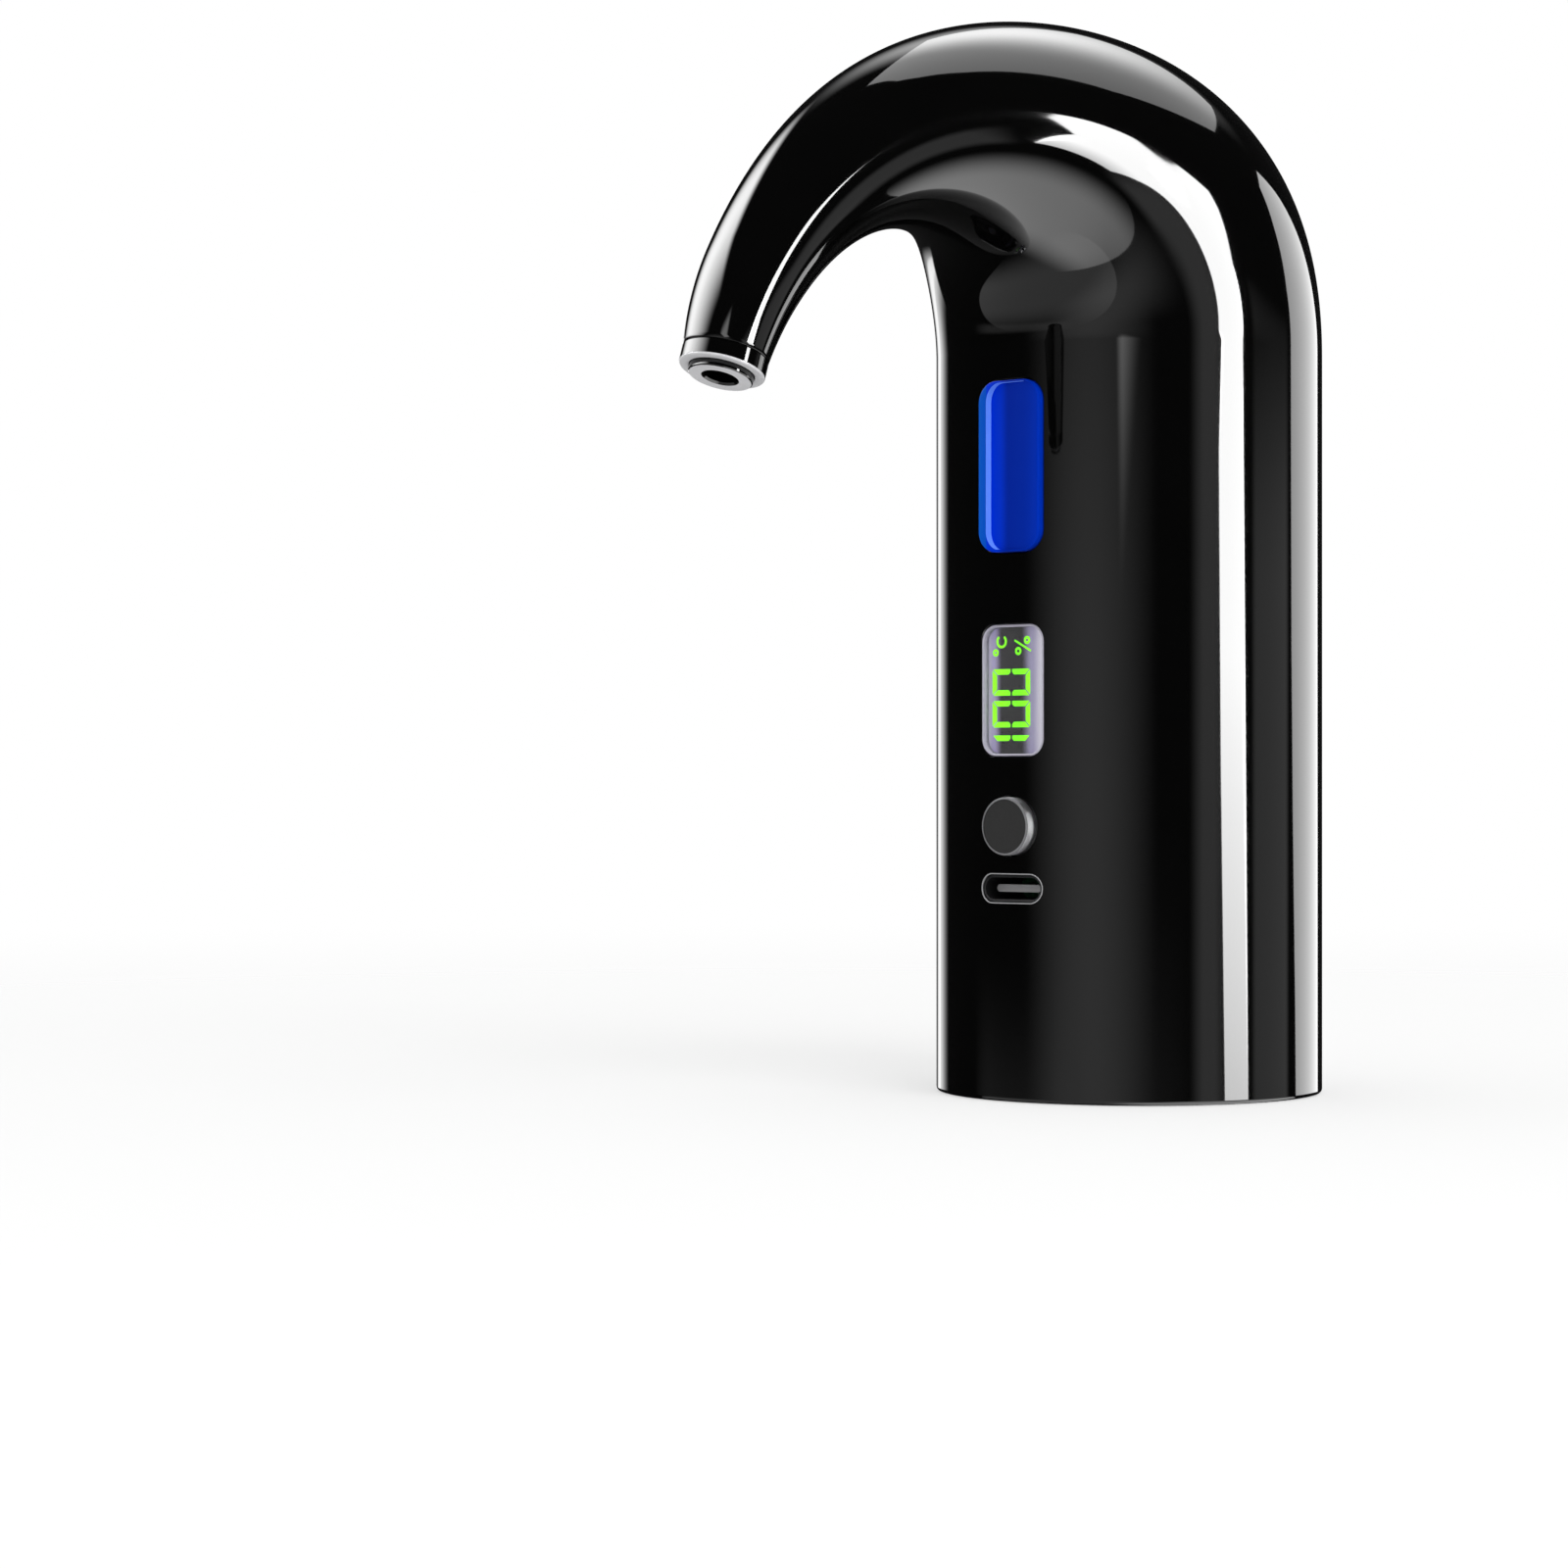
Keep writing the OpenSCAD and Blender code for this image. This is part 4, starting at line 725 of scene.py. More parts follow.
@dataclass
class PourButton:
    """Blue push button. Its thumb face lies deep along the left border and runs out level at the right."""

    body: str = "pour_button"
    width: float = 9.2
    height: float = 20.7
    corner: float = 2.6
    gap: float = 0.2
    z: float = 76.6
    front: float = -24.35
    back: float = -21.08
    border: float = 0.95
    dish: float = 0.72
    slope: float = 0.2
    line: float = 0.05
    lit: float = 0.2
    edge: float = 0.2

    def opening(self) -> BMesh:
        """Returns the block that the housing gives up for the button."""
        size = (self.width + 2 * self.gap, CUT_DEPTH, self.height + 2 * self.gap)
        bm = block(size, self.corner + self.gap)
        move(bm, 0.0, CUT_Y, self.z)
        return bm

    def lean(self, bm: BMesh, face: BMFace, aside: float, deep: float) -> None:
        """Draws a face's left side in, in proportion to the distance from its right side.

        Args:
            bm: the mesh.
            face: the face.
            aside: how far its left side goes to the right, in millimetres.
            deep: how far its left side goes in, in millimetres.
        """
        right = max(v.co.x for v in face.verts)
        span = right - min(v.co.x for v in face.verts)
        share = MM / span
        shear = Matrix(((1.0 - aside * share, 0.0, 0.0, aside * share * right),
                        (-deep * share, 1.0, 0.0, deep * share * right),
                        (0.0, 0.0, 1.0, 0.0), (0.0, 0.0, 0.0, 1.0)))
        bmesh.ops.transform(bm, matrix=shear, verts=face.verts)

    def build(self) -> None:
        """Makes the cap with its leaning face and dresses it."""
        depth = self.back - self.front
        bm = block((self.width, depth, self.height), self.corner, 12)
        soften(bm, rim(bm, 1, -0.5 * depth * MM), self.edge, 3)
        face = min(bm.faces, key=lambda f: f.calc_center_median().y)
        bmesh.ops.inset_individual(bm, faces=[face], thickness=self.line * MM, use_even_offset=True)
        self.lean(bm, face, self.border, 0.0)
        step = bmesh.ops.inset_individual(bm, faces=[face], thickness=self.line * MM, use_even_offset=True)
        self.lean(bm, face, self.slope, self.dish)
        # The step's walls on the left, further across at the top than at the bottom, take the pale blue painted
        # highlight; the rest keep the cap's colour.
        for wall in step["faces"]:
            middle = wall.calc_center_median()
            lit = self.lit if middle.z > 0.0 else -self.lit
            wall.material_index = 1 if middle.x < lit * self.width * MM else 0
        move(bm, 0.0, 0.5 * (self.front + self.back), self.z)
        cap = fit(shape("pour_button_cap", bm), self.body, "pour_blue", BLUE_CAP, "pour_button")
        cap.data.materials.append(BLUE_PAINTED_HIGHLIGHT.material())
        cap.visible_glossy = False


@dataclass
class ModeButton:
    """Round dark button with a bright turned side."""

    body: str = "mode_button"
    diameter: float = 7.0
    gap: float = 0.2
    z: float = 33.2
    front: float = -25.1
    back: float = -21.34
    chamfer: float = 0.14
    border: float = 0.1
    face_drop: float = 0.04

    def opening(self) -> BMesh:
        """Returns the block that the housing gives up for the button."""
        radius, half = 0.5 * self.diameter + self.gap, 0.5 * CUT_DEPTH
        return self.stand(turned([(0.0, -half), (radius, -half), (radius, half), (0.0, half)]), CUT_Y)

    def stand(self, bm: BMesh, y: float) -> BMesh:
        """Turns a mesh that was made about Z to face forward at the button's place.

        Args:
            bm: the mesh.
            y: where its origin goes, in millimetres.

        Returns:
            The same mesh.
        """
        place = Matrix.Translation(Vector((0.0, y, self.z)) * MM) @ Matrix.Rotation(math.pi / 2, 4, "X")
        bmesh.ops.transform(bm, matrix=place, verts=bm.verts)
        return bm

    def build(self) -> None:
        """Makes the bright side and the dark face and dresses them."""
        radius = 0.5 * self.diameter
        depth = self.back - self.front
        inner = radius - self.chamfer - self.border
        side = [(inner, 0.0), (radius, 0.0), (radius, depth - self.chamfer), (radius - self.chamfer, depth),
                (inner, depth)]
        ring = self.stand(turned(side), self.back)
        # Faces turned to the front, the rim and the chamfer, take the pale painted highlight; the round side
        # stays chrome.
        for edge_face in ring.faces:
            edge_face.material_index = 1 if edge_face.normal.y < -0.3 else 0
        made = fit(shape("mode_button_side", ring), self.body, "mode_dark", SATIN_CHROME)
        made.data.materials.append(GREY_PAINTED_HIGHLIGHT.material())
        top = depth - self.face_drop
        face = [(0.0, 0.0), (inner, 0.0), (inner, top), (0.0, top)]
        made = shape("mode_button_face", self.stand(turned(face), self.back))
        fit(made, self.body, "mode_dark", DARK_SATIN, "mode_button")


class Bar(Enum):
    """The seven bars of a digit: middle across, middle up, and whether it stands upright."""

    TOP = (0.0, 1.0, False)
    UPPER_RIGHT = (1.0, 0.5, True)
    LOWER_RIGHT = (1.0, -0.5, True)
    BOTTOM = (0.0, -1.0, False)
    LOWER_LEFT = (-1.0, -0.5, True)
    UPPER_LEFT = (-1.0, 0.5, True)
    MIDDLE = (0.0, 0.0, False)


DIGIT_BARS = {
    "1": (Bar.UPPER_RIGHT, Bar.LOWER_RIGHT),
    "0": (Bar.TOP, Bar.UPPER_RIGHT, Bar.LOWER_RIGHT, Bar.BOTTOM, Bar.LOWER_LEFT, Bar.UPPER_LEFT),
}


@dataclass
class Display:
    """Window with a lining coloured as a painted highlight, a clear pane, a cell whose colour paints light, and
    lit digits that read upwards.
    """

    body: str = "dispenser_body"
    width: float = 9.4
    height: float = 15.9
    corner: float = 2.1
    gap: float = 0.1
    z: float = 49.6
    lining: float = 0.3
    lining_round: float = 0.08
    mouth: float = -23.45
    pane_front: float = -22.95
    pane_t: float = 0.4
    cell_front: float = -22.3
    cell_t: float = 1.2
    digit_w: float = 3.2
    digit_h: float = 5.75
    bar: float = 0.66
    bar_gap: float = 0.3
    ink: float = 0.05
    pen: float = 0.15
    shift: float = -0.95
    places: tuple[tuple[str, float], ...] = (("1", -7.03), ("0", -2.85), ("0", 1.0))
    rounds: tuple[tuple[float, float, float, float], ...] = (
        (0.3, 360, -2.4, 4.6), (0.66, 290, -1.5, 5.95), (0.34, 360, 1.05, 4.75), (0.34, 360, 2.4, 6.05))
    slash: tuple[float, float, float, float] = (2.8, 62.0, 1.75, 5.4)

    def opening(self) -> BMesh:
        """Returns the block that the housing gives up for the window."""
        size = (self.width + 2 * self.gap, CUT_DEPTH, self.height + 2 * self.gap)
        bm = block(size, self.corner + self.gap)
        move(bm, 0.0, CUT_Y, self.z)
        return bm

    def plate(self, inset: float, front: float, thick: float) -> BMesh:
        """Makes a plate that fills the window.

        Args:
            inset: how far its outline lies inside the window.
            front: the place of its face, in millimetres.
            thick: its thickness in millimetres.

        Returns:
            The plate in place.
        """
        bm = block((self.width - 2 * inset, thick, self.height - 2 * inset), self.corner - inset, 12)
        move(bm, 0.0, front + 0.5 * thick, self.z)
        return bm

    def lining_ring(self) -> BMesh:
        """Returns the lining: a plate whose middle is taken out, with rounded front edges."""
        thick = self.cell_front - self.mouth
        bm = block((self.width, thick, self.height), self.corner, 12)
        hollow(bm, self.lining)
        soften(bm, rim(bm, 1, -0.5 * thick * MM), self.lining_round, 2)
        move(bm, 0.0, self.mouth + 0.5 * thick, self.z)
        return bm

    def flat(self, bm: BMesh, across: float, up: float) -> BMesh:
        """Lays a mark on the cell. A mark's own X reads along the digits and its own Y is their top.

        Args:
            bm: the mark, drawn about Z.
            across: its place along the window's width, in millimetres.
            up: its place along the window's height, in millimetres.

        Returns:
            The same mesh.
        """
        turn = Matrix(((0, -1, 0, 0), (0, 0, -1, 0), (1, 0, 0, 0), (0, 0, 0, 1)))
        place = Matrix.Translation(Vector((across + self.shift, self.cell_front - 0.01, self.z + up)) * MM)
        bmesh.ops.transform(bm, matrix=place @ turn, verts=bm.verts)
        return bm

    def segment(self, bar: Bar) -> BMesh:
        """Makes one bar with mitred ends.

        Args:
            bar: which bar of the digit.

        Returns:
            The bar in the digit's own plane.
        """
        across, up, upright = bar.value
        length = 0.5 * self.digit_h if upright else self.digit_w
        bm = block((length - self.bar_gap, self.bar, self.ink))
        lower = [e for e in bm.edges if all(v.co.y < 0 for v in e.verts)]
        inner = [e for e in lower if abs(e.verts[0].co.z - e.verts[1].co.z) > 0]
        outward = -1 if (across > 0) == (up > 0) else 1
        middle = [e for e in inner if upright and e.verts[0].co.x * outward < 0]
        soften(bm, [e for e in inner if e not in middle], 0.94 * self.bar, 1)
        if middle:
            soften(bm, [e for e in middle if e.is_valid], 0.42 * self.bar, 1)
        if upright:
            turn = -math.pi / 2 if across > 0 else math.pi / 2
        else:
            turn = 0.0 if up >= 0 else math.pi
        bmesh.ops.rotate(bm, cent=(0, 0, 0), matrix=Matrix.Rotation(turn, 3, "Z"), verts=bm.verts)
        tall = self.digit_h if upright else self.digit_h - self.bar
        move(bm, across * 0.5 * (self.digit_w - self.bar), up * 0.5 * tall, 0.0)
        return bm

    def arc(self, radius: float, sweep: float) -> BMesh:
        """Makes a round mark, open at its right where it isn't a full turn.

        Args:
            radius: middle radius in millimetres.
            sweep: degrees of the turn.

        Returns:
            The mark in the digits' plane.
        """
        bm = bmesh.new()
        bmesh.ops.create_circle(bm, segments=4, radius=self.pen * MM, cap_ends=sweep < 360,
                                matrix=Matrix.Rotation(math.pi / 2, 4, "X"))
        bmesh.ops.scale(bm, vec=(1.0, 1.0, 0.2), verts=bm.verts)
        bmesh.ops.translate(bm, vec=(radius * MM, 0.0, 0.0), verts=bm.verts)
        start = Matrix.Rotation(math.radians(180 - 0.5 * sweep), 3, "Z")
        bmesh.ops.rotate(bm, cent=(0, 0, 0), matrix=start, verts=bm.verts)
        bmesh.ops.spin(bm, geom=bm.verts[:] + bm.edges[:] + bm.faces[:], cent=(0, 0, 0), axis=(0, 0, 1),
                       angle=math.radians(sweep), steps=24, use_merge=sweep >= 360)
        return bm

    def stroke(self, length: float, turn: float) -> BMesh:
        """Makes a plain slanted stroke.

        Args:
            length: its length in millimetres.
            turn: its slant in degrees.

        Returns:
            The stroke in the digits' plane.
        """
        bm = block((length, 1.5 * self.pen, self.ink))
        slant = Matrix.Rotation(math.radians(turn), 3, "Z")
        bmesh.ops.rotate(bm, cent=(0, 0, 0), matrix=slant, verts=bm.verts)
        return bm

    def marks(self) -> BMesh:
        """Returns the digits and the two unit signs as one mesh."""
        parts = [self.flat(self.segment(bar), 0.0, up)
                 for text, up in self.places for bar in DIGIT_BARS[text]]
        parts += [self.flat(self.arc(radius, sweep), *place) for radius, sweep, *place in self.rounds]
        length, turn, *place = self.slash
        return merged(parts + [self.flat(self.stroke(length, turn), *place)])

    def build(self) -> None:
        """Makes and dresses the lining, the pane, the cell and the digits."""
        fit(shape("display_lining", self.lining_ring()), self.body, "white_plastic", LINING_PAINTED_HIGHLIGHT)
        pane = self.plate(self.lining - 0.04, self.pane_front, self.pane_t)
        fit(shape("display_pane", pane), self.body, "lens_clear", CLEAR_ACRYLIC, "display_lens")
        cell = self.plate(self.lining, self.cell_front, self.cell_t)
        fit(shape("display_cell", cell), self.body, "display_grey", CRYSTAL_CELL, "display_panel")
        fit(shape("display_digits", self.marks()), self.body, "display_grey", LIT_SEGMENT)


@dataclass
class ChargePort:
    """Charging socket: a pale trim line round the slot as a painted highlight, a near-black shell as painted
    shade of the recess, and its blade.
    """

    body: str = "dispenser_body"
    width: float = 8.94
    height: float = 3.26
    gap: float = 0.1
    z: float = 25.7
    front: float = -23.4
    back: float = -16.35
    metal: float = 0.3
    trim: float = 0.09
    trim_t: float = 0.15
    trim_proud: float = 0.03
    blade_w: float = 6.7
    blade_h: float = 0.9
    blade_front: float = -22.2
    blade_back: float = -17.35

    def pill(self, grow: float, depth: float) -> BMesh:
        """Makes a slot-shaped block.

        Args:
            grow: how far its outline lies outside the shell's.
            depth: its depth in millimetres.

        Returns:
            The block about the origin.
        """
        size = (self.width + 2 * grow, depth, self.height + 2 * grow)
        return block(size, 0.5 * size[2] - 0.02, 10)

    def opening(self) -> BMesh:
        """Returns the block that the housing gives up for the socket."""
        bm = self.pill(self.gap, CUT_DEPTH)
        move(bm, 0.0, CUT_Y, self.z)
        return bm

    def frame_ring(self, outside: float, wall: float, depth: float) -> BMesh:
        """Makes a slot-shaped sleeve.

        Args:
            outside: how far its outline lies outside the shell's.
            wall: its wall in millimetres.
            depth: its depth in millimetres.

        Returns:
            The sleeve about the origin.
        """
        bm = self.pill(outside, depth)
        hollow(bm, wall)
        return bm

    def trim_line(self, radius: float) -> BMesh:
        """Makes the thin trim that follows the round of the body.

        Args:
            radius: the body's radius in millimetres.

        Returns:
            The trim in place.
        """
        bm = self.frame_ring(self.gap + self.trim, self.trim + 0.02, self.trim_t)
        flats = [e for e in bm.edges if abs(e.verts[0].co.x - e.verts[1].co.x) > 1.0 * MM]
        bmesh.ops.subdivide_edges(bm, edges=flats, cuts=16, use_grid_fill=True)
        for vert in bm.verts:
            depth = -self.trim_proud * MM if vert.co.y < 0 else (self.trim_t - self.trim_proud) * MM
            vert.co.y = depth - math.sqrt((radius * MM) ** 2 - vert.co.x ** 2)
        move(bm, 0.0, 0.0, self.z)
        return bm

    def build(self, radius: float) -> None:
        """Makes and dresses the trim, the shell and the blade.

        Args:
            radius: the body's radius in millimetres.
        """
        fit(shape("socket_trim", self.trim_line(radius)), self.body, "socket_metal", TRIM_PAINTED_HIGHLIGHT)
        depth = self.back - self.front
        shell = self.frame_ring(0.0, self.metal, depth)
        move(shell, 0.0, 0.5 * (self.front + self.back), self.z)
        fit(shape("socket_shell", shell), self.body, "socket_metal", SOCKET_PAINTED_SHADE, "usb_socket")
        length = self.blade_back - self.blade_front
        blade = block((self.blade_w, length, self.blade_h), 0.5 * self.blade_h - 0.02, 6)
        move(blade, 0.0, 0.5 * (self.blade_front + self.blade_back), self.z)
        fit(shape("socket_blade", blade), self.body, "outlet_pale", GREY_NYLON, "usb_tongue")


@dataclass
class Works:
    """Pump, motor, cell, board, tubes and seals, which keep their solids and get their finishes here."""

    finishes: dict[Finish, tuple[str, ...]] = field(default_factory=lambda: {
        PALE_POLYPROPYLENE: ("valve_plate", "wobble_plate"),
        WHITE_ABS: ("display_frame", "pour_plunger", "mode_plunger", "tube_cap", "dip_tube_foot"),
        FILLED_NYLON: ("pour_switch", "mode_switch", "board_components", "base_collar", "chassis",
                       "pump_head", "pump_case", "motor_endcap"),
        SOLDER_MASK: ("main_board",),
        ZINC_SCREW: ("board_screws", "base_screws", "chassis_screws"),
        DARK_SILICONE: ("bottle_stopper", "pump_pad", "battery_pad", "pump_valves", "pump_diaphragm",
                        "motor_sleeve"),
        RED_SILICONE: ("tube_seal",),
        DRAWN_STEEL: ("dip_tube_outer", "dip_tube_upper", "dip_tube_middle", "dip_tube_lower",
                      "dip_tube_inner"),
        MILKY_HOSE: ("pour_hose", "air_hose"),
        SHRINK_FILM: ("battery_cell",),
        NICKEL_CAN: ("motor_can", "motor_shaft"),
        FERRITE: ("motor_magnets",),
        COPPER_WINDING: ("motor_rotor", "temperature_sensor"),
        TURNED_BRASS: ("drive_eccentric",),
        RED_PVC: ("battery_leads",),
        BLACK_PVC: ("motor_leads",),
    })

    def dress(self) -> None:
        """Gives every carried-over node its finish."""
        for finish, names in self.finishes.items():
            for name in names:
                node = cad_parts[name]
                node.data.materials.clear()
                node.data.materials.append(finish.material())
                log.info("%s keeps its solid as %s", name, finish.name)


@dataclass
class SoftBox:
    """A lit studio card that shows in gloss only. Its place is in degrees right of and above the camera."""

    name: str
    azimuth: float
    elevation: float
    wide: float
    tall: float
    glow: float
    feather: tuple[float, float] = (1.0, 1.0)
    roll: float = 0.0


@dataclass
class ShapedBox:
    """A lit card with an outline of its own, as points right of and above the camera, in degrees."""

    name: str
    outline: tuple[tuple[float, float], ...]
    low: float
    high: float
    full: float = 1.0


@dataclass
class Studio:
    """Camera at the photograph's angle, soft light, pale floor, and cards for the gloss to show."""

    eye: tuple[float, float, float] = (0.2858, -0.3881, 0.0383)
    facing: tuple[float, float, float] = (-0.6626, 0.7490, 0.0)
    lens: float = 88.1
    level: float = 0.85
    key_power: float = 6.0
    key_size: float = 0.7
    key_place: tuple[float, float, float] = (0.8, 0.35, 0.85)
    floor_share: float = 0.45
    floor_size: float = 0.8
    floor_gap: float = 0.1
    card_distance: float = 3.0
    dark: float = 0.012
    boxes: tuple[SoftBox, ...] = (
        SoftBox("box_left", -104.0, 35.0, 88.0, 50.0, 11.0, (0.95, 0.3)),
        SoftBox("box_top_peak", 160.0, 51.0, 62.0, 34.0, 2.8),
        SoftBox("fill_front", -28.0, 0.0, 84.0, 44.0, 0.62),
        SoftBox("fill_front_low", -6.0, -20.0, 90.0, 42.0, 0.6),
        SoftBox("fill_beside_strip", 43.0, 1.0, 26.0, 26.0, 0.6, (0.8, 0.5)),
        SoftBox("fill_right", 88.0, 0.0, 34.0, 20.0, 0.5, (0.3, 0.6)),
        SoftBox("spot_front", -8.0, 19.0, 17.0, 28.0, 2.9, (0.5, 0.5), roll=-22.0),
        SoftBox("card_low", 72.0, -56.0, 130.0, 84.0, 3.3, (0.9, 0.65)),
        SoftBox("card_low_left", -55.0, -50.0, 150.0, 92.0, 0.62, (0.8, 0.8)),
        SoftBox("haze_left", -72.0, -9.0, 76.0, 14.0, 0.25, (0.5, 0.8)),
        SoftBox("rim_left", -157.0, 2.6, 33.0, 18.4, 2.1, (1.0, 0.2)),
        SoftBox("rim_left_edge", -162.0, 2.6, 11.0, 18.4, 0.8, (0.5, 0.2)),
    )
    shaped: tuple[ShapedBox, ...] = (
        ShapedBox("strip_right", ((53.5, -5.2), (69.5, -5.2), (67.5, -1.5), (65, 3), (64, 5.5), (65.5, 8),
                                  (68, 12.5), (70, 17), (70.6, 20.5), (66, 22), (62, 19), (55.5, 10.5),
                                  (49.2, 6.3), (50.5, 1)), 12.5, 23.0, 0.3),
        ShapedBox("box_right", ((113, -7), (147, -7), (146, 9), (140, 16), (132, 23), (122, 29), (114, 27),
                                (109, 20), (106, 12), (106.5, 6), (107, 3), (108.5, 0), (111, -3)), 3.6, 3.6),
        ShapedBox("box_top", ((90, 44), (112, 38), (140, 36), (165, 37), (180, 45), (180, 77), (140, 79),
                              (110, 77), (96, 71), (90, 60)), 1.9, 2.3),
    )

    def axes(self) -> tuple[Vector, Vector]:
        """Returns the directions from the object to the camera and to the camera's right."""
        back = -Vector(self.facing).normalized()
        return back, UP.cross(back).normalized()

    def camera(self) -> None:
        """Places the camera."""
        data = bpy.data.cameras.new("camera")
        data.lens = self.lens
        data.sensor_width = 36.0
        data.clip_start = 0.01
        made = bpy.data.objects.new("camera", data)
        made.location = self.eye
        made.rotation_euler = Vector(self.facing).to_track_quat("-Z", "Y").to_euler()
        bpy.context.scene.collection.objects.link(made)
        bpy.context.scene.camera = made

    def world(self) -> None:
        """Makes a white backdrop for what is seen, and a plain even level for what is lit."""
        world = bpy.data.worlds.new("studio")
        world.use_nodes = True
        tree = world.node_tree
        tree.nodes.clear()
        path = add(tree, "ShaderNodeLightPath")
        seen = path.outputs["Is Camera Ray"]
        for name in ("Is Glossy Ray", "Is Transmission Ray"):
            either = add(tree, "ShaderNodeMath", {0: seen, 1: path.outputs[name]}, operation="MAXIMUM")
            seen = either.outputs[0]
        strength = add(tree, "ShaderNodeMapRange", {"Value": seen, "To Min": self.level, "To Max": 1.0})
        light = add(tree, "ShaderNodeBackground", {"Strength": strength.outputs["Result"]})
        light.inputs["Color"].default_value = linear("ffffff")
        add(tree, "ShaderNodeOutputWorld", {"Surface": light.outputs["Background"]})
        bpy.context.scene.world = world

    def key(self) -> None:
        """Hangs the soft key lamp above and to the right of the camera."""
        back, right = self.axes()
        data = bpy.data.lights.new("key", "AREA")
        data.energy = self.key_power
        data.size = self.key_size
        lamp = bpy.data.objects.new("key", data)
        near, aside, high = self.key_place
        lamp.location = back * near + right * aside + UP * high
        lamp.rotation_euler = (Vector((0.0, 0.0, 0.06)) - lamp.location).to_track_quat("-Z", "Y").to_euler()
        lamp.visible_glossy = False
        bpy.context.scene.collection.objects.link(lamp)

    def floor(self) -> None:
        """Lays the pale floor. It lets half of the backdrop through and fades out far from the object."""
        bm = bmesh.new()
        bmesh.ops.create_circle(bm, cap_ends=True, segments=64, radius=self.floor_size)
        move(bm, 0.0, 0.0, -self.floor_gap)
        made = shape("floor", bm)
        material = blank("pale_paper_sweep")
        tree = material.node_tree
        coords = add(tree, "ShaderNodeTexCoord")
        reach = add(tree, "ShaderNodeVectorMath", {0: coords.outputs["Object"]}, operation="LENGTH")
        share = add(tree, "ShaderNodeMapRange",
                    {"Value": reach.outputs["Value"], "From Min": 0.1, "From Max": 0.75 * self.floor_size,
                     "To Min": self.floor_share, "To Max": 0.0}, interpolation_type="SMOOTHSTEP")
        paper = add(tree, "ShaderNodeBsdfDiffuse", {"Color": linear("f2f2f2")})
        clear = add(tree, "ShaderNodeBsdfTransparent")
        mix = add(tree, "ShaderNodeMixShader",
                  {0: share.outputs["Result"], 1: clear.outputs[0], 2: paper.outputs[0]})
        add(tree, "ShaderNodeOutputMaterial", {"Surface": mix.outputs[0]})
        made.data.materials.append(material)
        made.visible_glossy = False

    def way(self, azimuth: float, elevation: float) -> Vector:
        """Gives a direction seen from the object.

        Args:
            azimuth: degrees to the right of the camera.
            elevation: degrees above the horizon.

        Returns:
            The direction.
        """
        back, right = self.axes()
        az, el = math.radians(azimuth), math.radians(elevation)
        return (back * math.cos(az) + right * math.sin(az)) * math.cos(el) + UP * math.sin(el)

    def glow(self, made: Object, material: Material, strength: NodeSocket | float,
             clear: bool = True) -> None:
        """Lights a stage object and hides it from all but reflections.

        Args:
            made: the object.
            material: its material.
            strength: how bright it is.
            clear: whether what lies behind it adds to it.
        """
        tree = material.node_tree
        light = add(tree, "ShaderNodeEmission", {"Color": linear("ffffff"), "Strength": strength})
        surface = light.outputs[0]
        if clear:
            behind = add(tree, "ShaderNodeBsdfTransparent")
            surface = add(tree, "ShaderNodeAddShader", {0: surface, 1: behind.outputs[0]}).outputs[0]
        add(tree, "ShaderNodeOutputMaterial", {"Surface": surface})
        made.data.materials.append(material)
        for ray in ("camera", "diffuse", "transmission", "volume_scatter", "shadow"):
            setattr(made, f"visible_{ray}", False)

    def flag(self) -> None:
        """Stands a dark drum round the set, so that black gloss stays black between the cards."""
        bm = bmesh.new()
        bmesh.ops.create_uvsphere(bm, u_segments=72, v_segments=36, radius=1.5 * self.card_distance)
        self.glow(shape("dark_flags", bm), blank("black_felt"), self.dark, clear=False)

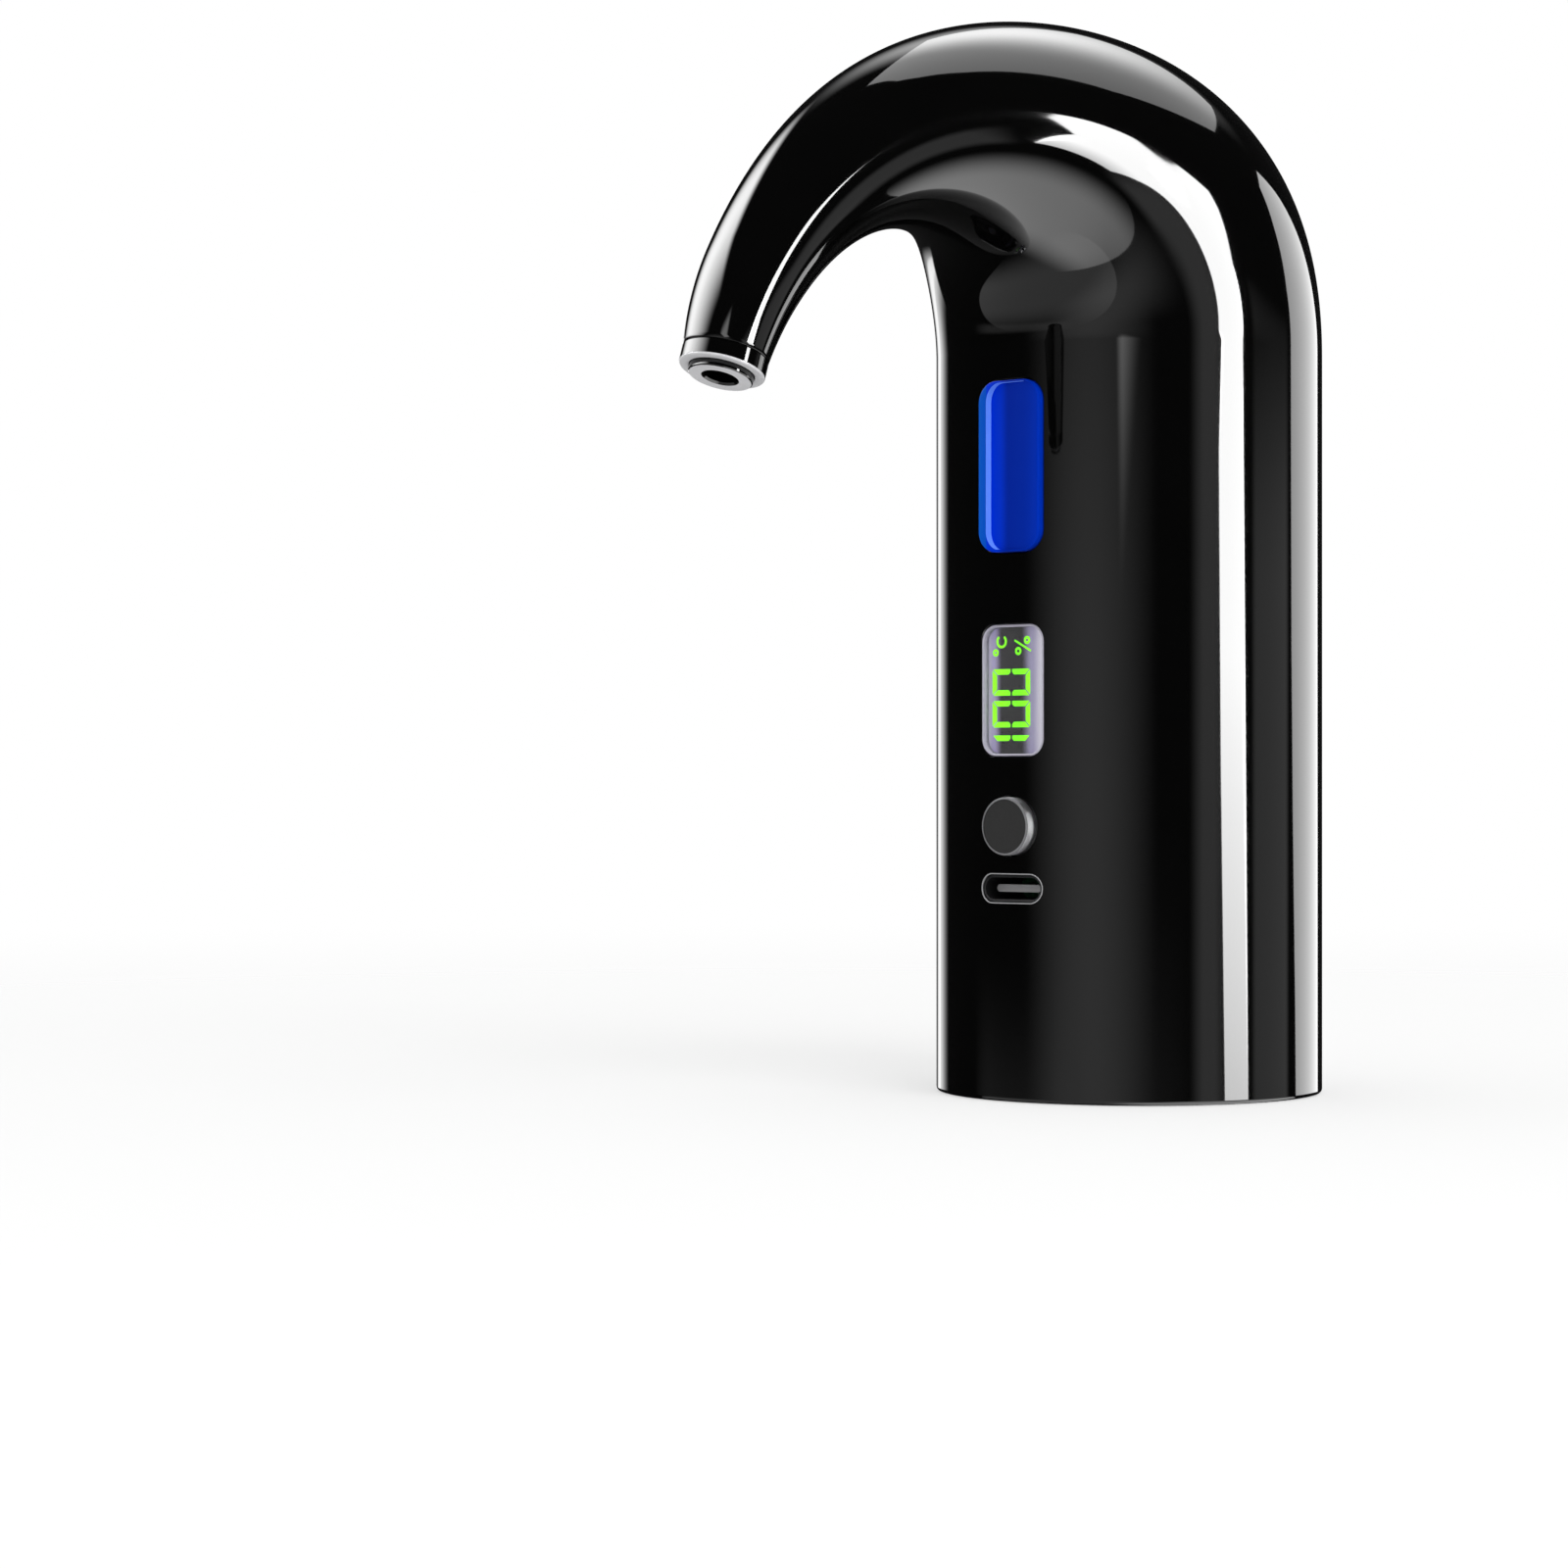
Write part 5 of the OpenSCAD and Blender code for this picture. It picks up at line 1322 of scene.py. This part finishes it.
    def soft_box(self, box: SoftBox) -> None:
        """Stands one soft card, which fades towards its edges.

        Args:
            box: the card.
        """
        towards = self.way(box.azimuth, box.elevation)
        halves = [self.card_distance * math.tan(math.radians(0.5 * v)) for v in (box.wide, box.tall)]
        bm = bmesh.new()
        bmesh.ops.create_grid(bm, x_segments=1, y_segments=1, size=1.0)
        bmesh.ops.scale(bm, vec=(halves[0], halves[1], 1.0), verts=bm.verts)
        made = shape(box.name, bm)
        made.location = towards * self.card_distance
        turn = (-towards).to_track_quat("Z", "Y").to_matrix().to_4x4()
        made.rotation_euler = (turn @ Matrix.Rotation(math.radians(box.roll), 4, "Z")).to_euler()
        material = blank(box.name)
        tree = material.node_tree
        axes = own_axes(tree)
        level = box.glow
        for name, half, feather in zip("XY", halves, box.feather):
            span = add(tree, "ShaderNodeMath", {0: axes.outputs[name]}, operation="ABSOLUTE")
            fade = add(tree, "ShaderNodeMapRange",
                       {"Value": span.outputs[0], "From Min": half * (1.0 - feather), "From Max": half,
                        "To Min": 1.0, "To Max": 0.0}, interpolation_type="SMOOTHSTEP")
            dimmed = add(tree, "ShaderNodeMath", {0: level, 1: fade.outputs["Result"]}, operation="MULTIPLY")
            level = dimmed.outputs[0]
        self.glow(made, material, level)

    def shaped_box(self, box: ShapedBox) -> None:
        """Stands one card with an outline of its own, which brightens with height.

        Args:
            box: the card.
        """
        bm = bmesh.new()
        corners = [bm.verts.new(self.way(*corner) * self.card_distance) for corner in box.outline]
        bm.faces.new(corners)
        bmesh.ops.triangulate(bm, faces=bm.faces)
        heights = [v.co.z for v in bm.verts]
        made = shape(box.name, bm, 180.0)
        material = blank(box.name)
        tree = material.node_tree
        axes = own_axes(tree)
        bright = min(heights) + box.full * (max(heights) - min(heights))
        level = add(tree, "ShaderNodeMapRange", {"Value": axes.outputs["Z"], "From Min": min(heights),
                                                 "From Max": bright, "To Min": box.low, "To Max": box.high})
        self.glow(made, material, level.outputs["Result"])

    def build(self) -> None:
        """Sets up the camera, the light, the floor and the cards."""
        bpy.context.scene.view_settings.view_transform = "Standard"
        self.camera()
        self.world()
        self.key()
        self.floor()
        self.flag()
        for box in self.boxes:
            self.soft_box(box)
        for box in self.shaped:
            self.shaped_box(box)


def main() -> None:
    """Builds the studio and every sub-assembly."""
    logging.basicConfig(level=logging.INFO, format="%(name)s: %(message)s")
    Studio().build()
    housing, pour, display, mode, port = Housing(), PourButton(), Display(), ModeButton(), ChargePort()
    housing.build([pour.opening(), display.opening(), mode.opening(), port.opening()])
    Nozzle(housing).build()
    pour.build()
    display.build()
    mode.build()
    port.build(housing.radius)
    Works().dress()


if __name__ == "__main__":
    main()
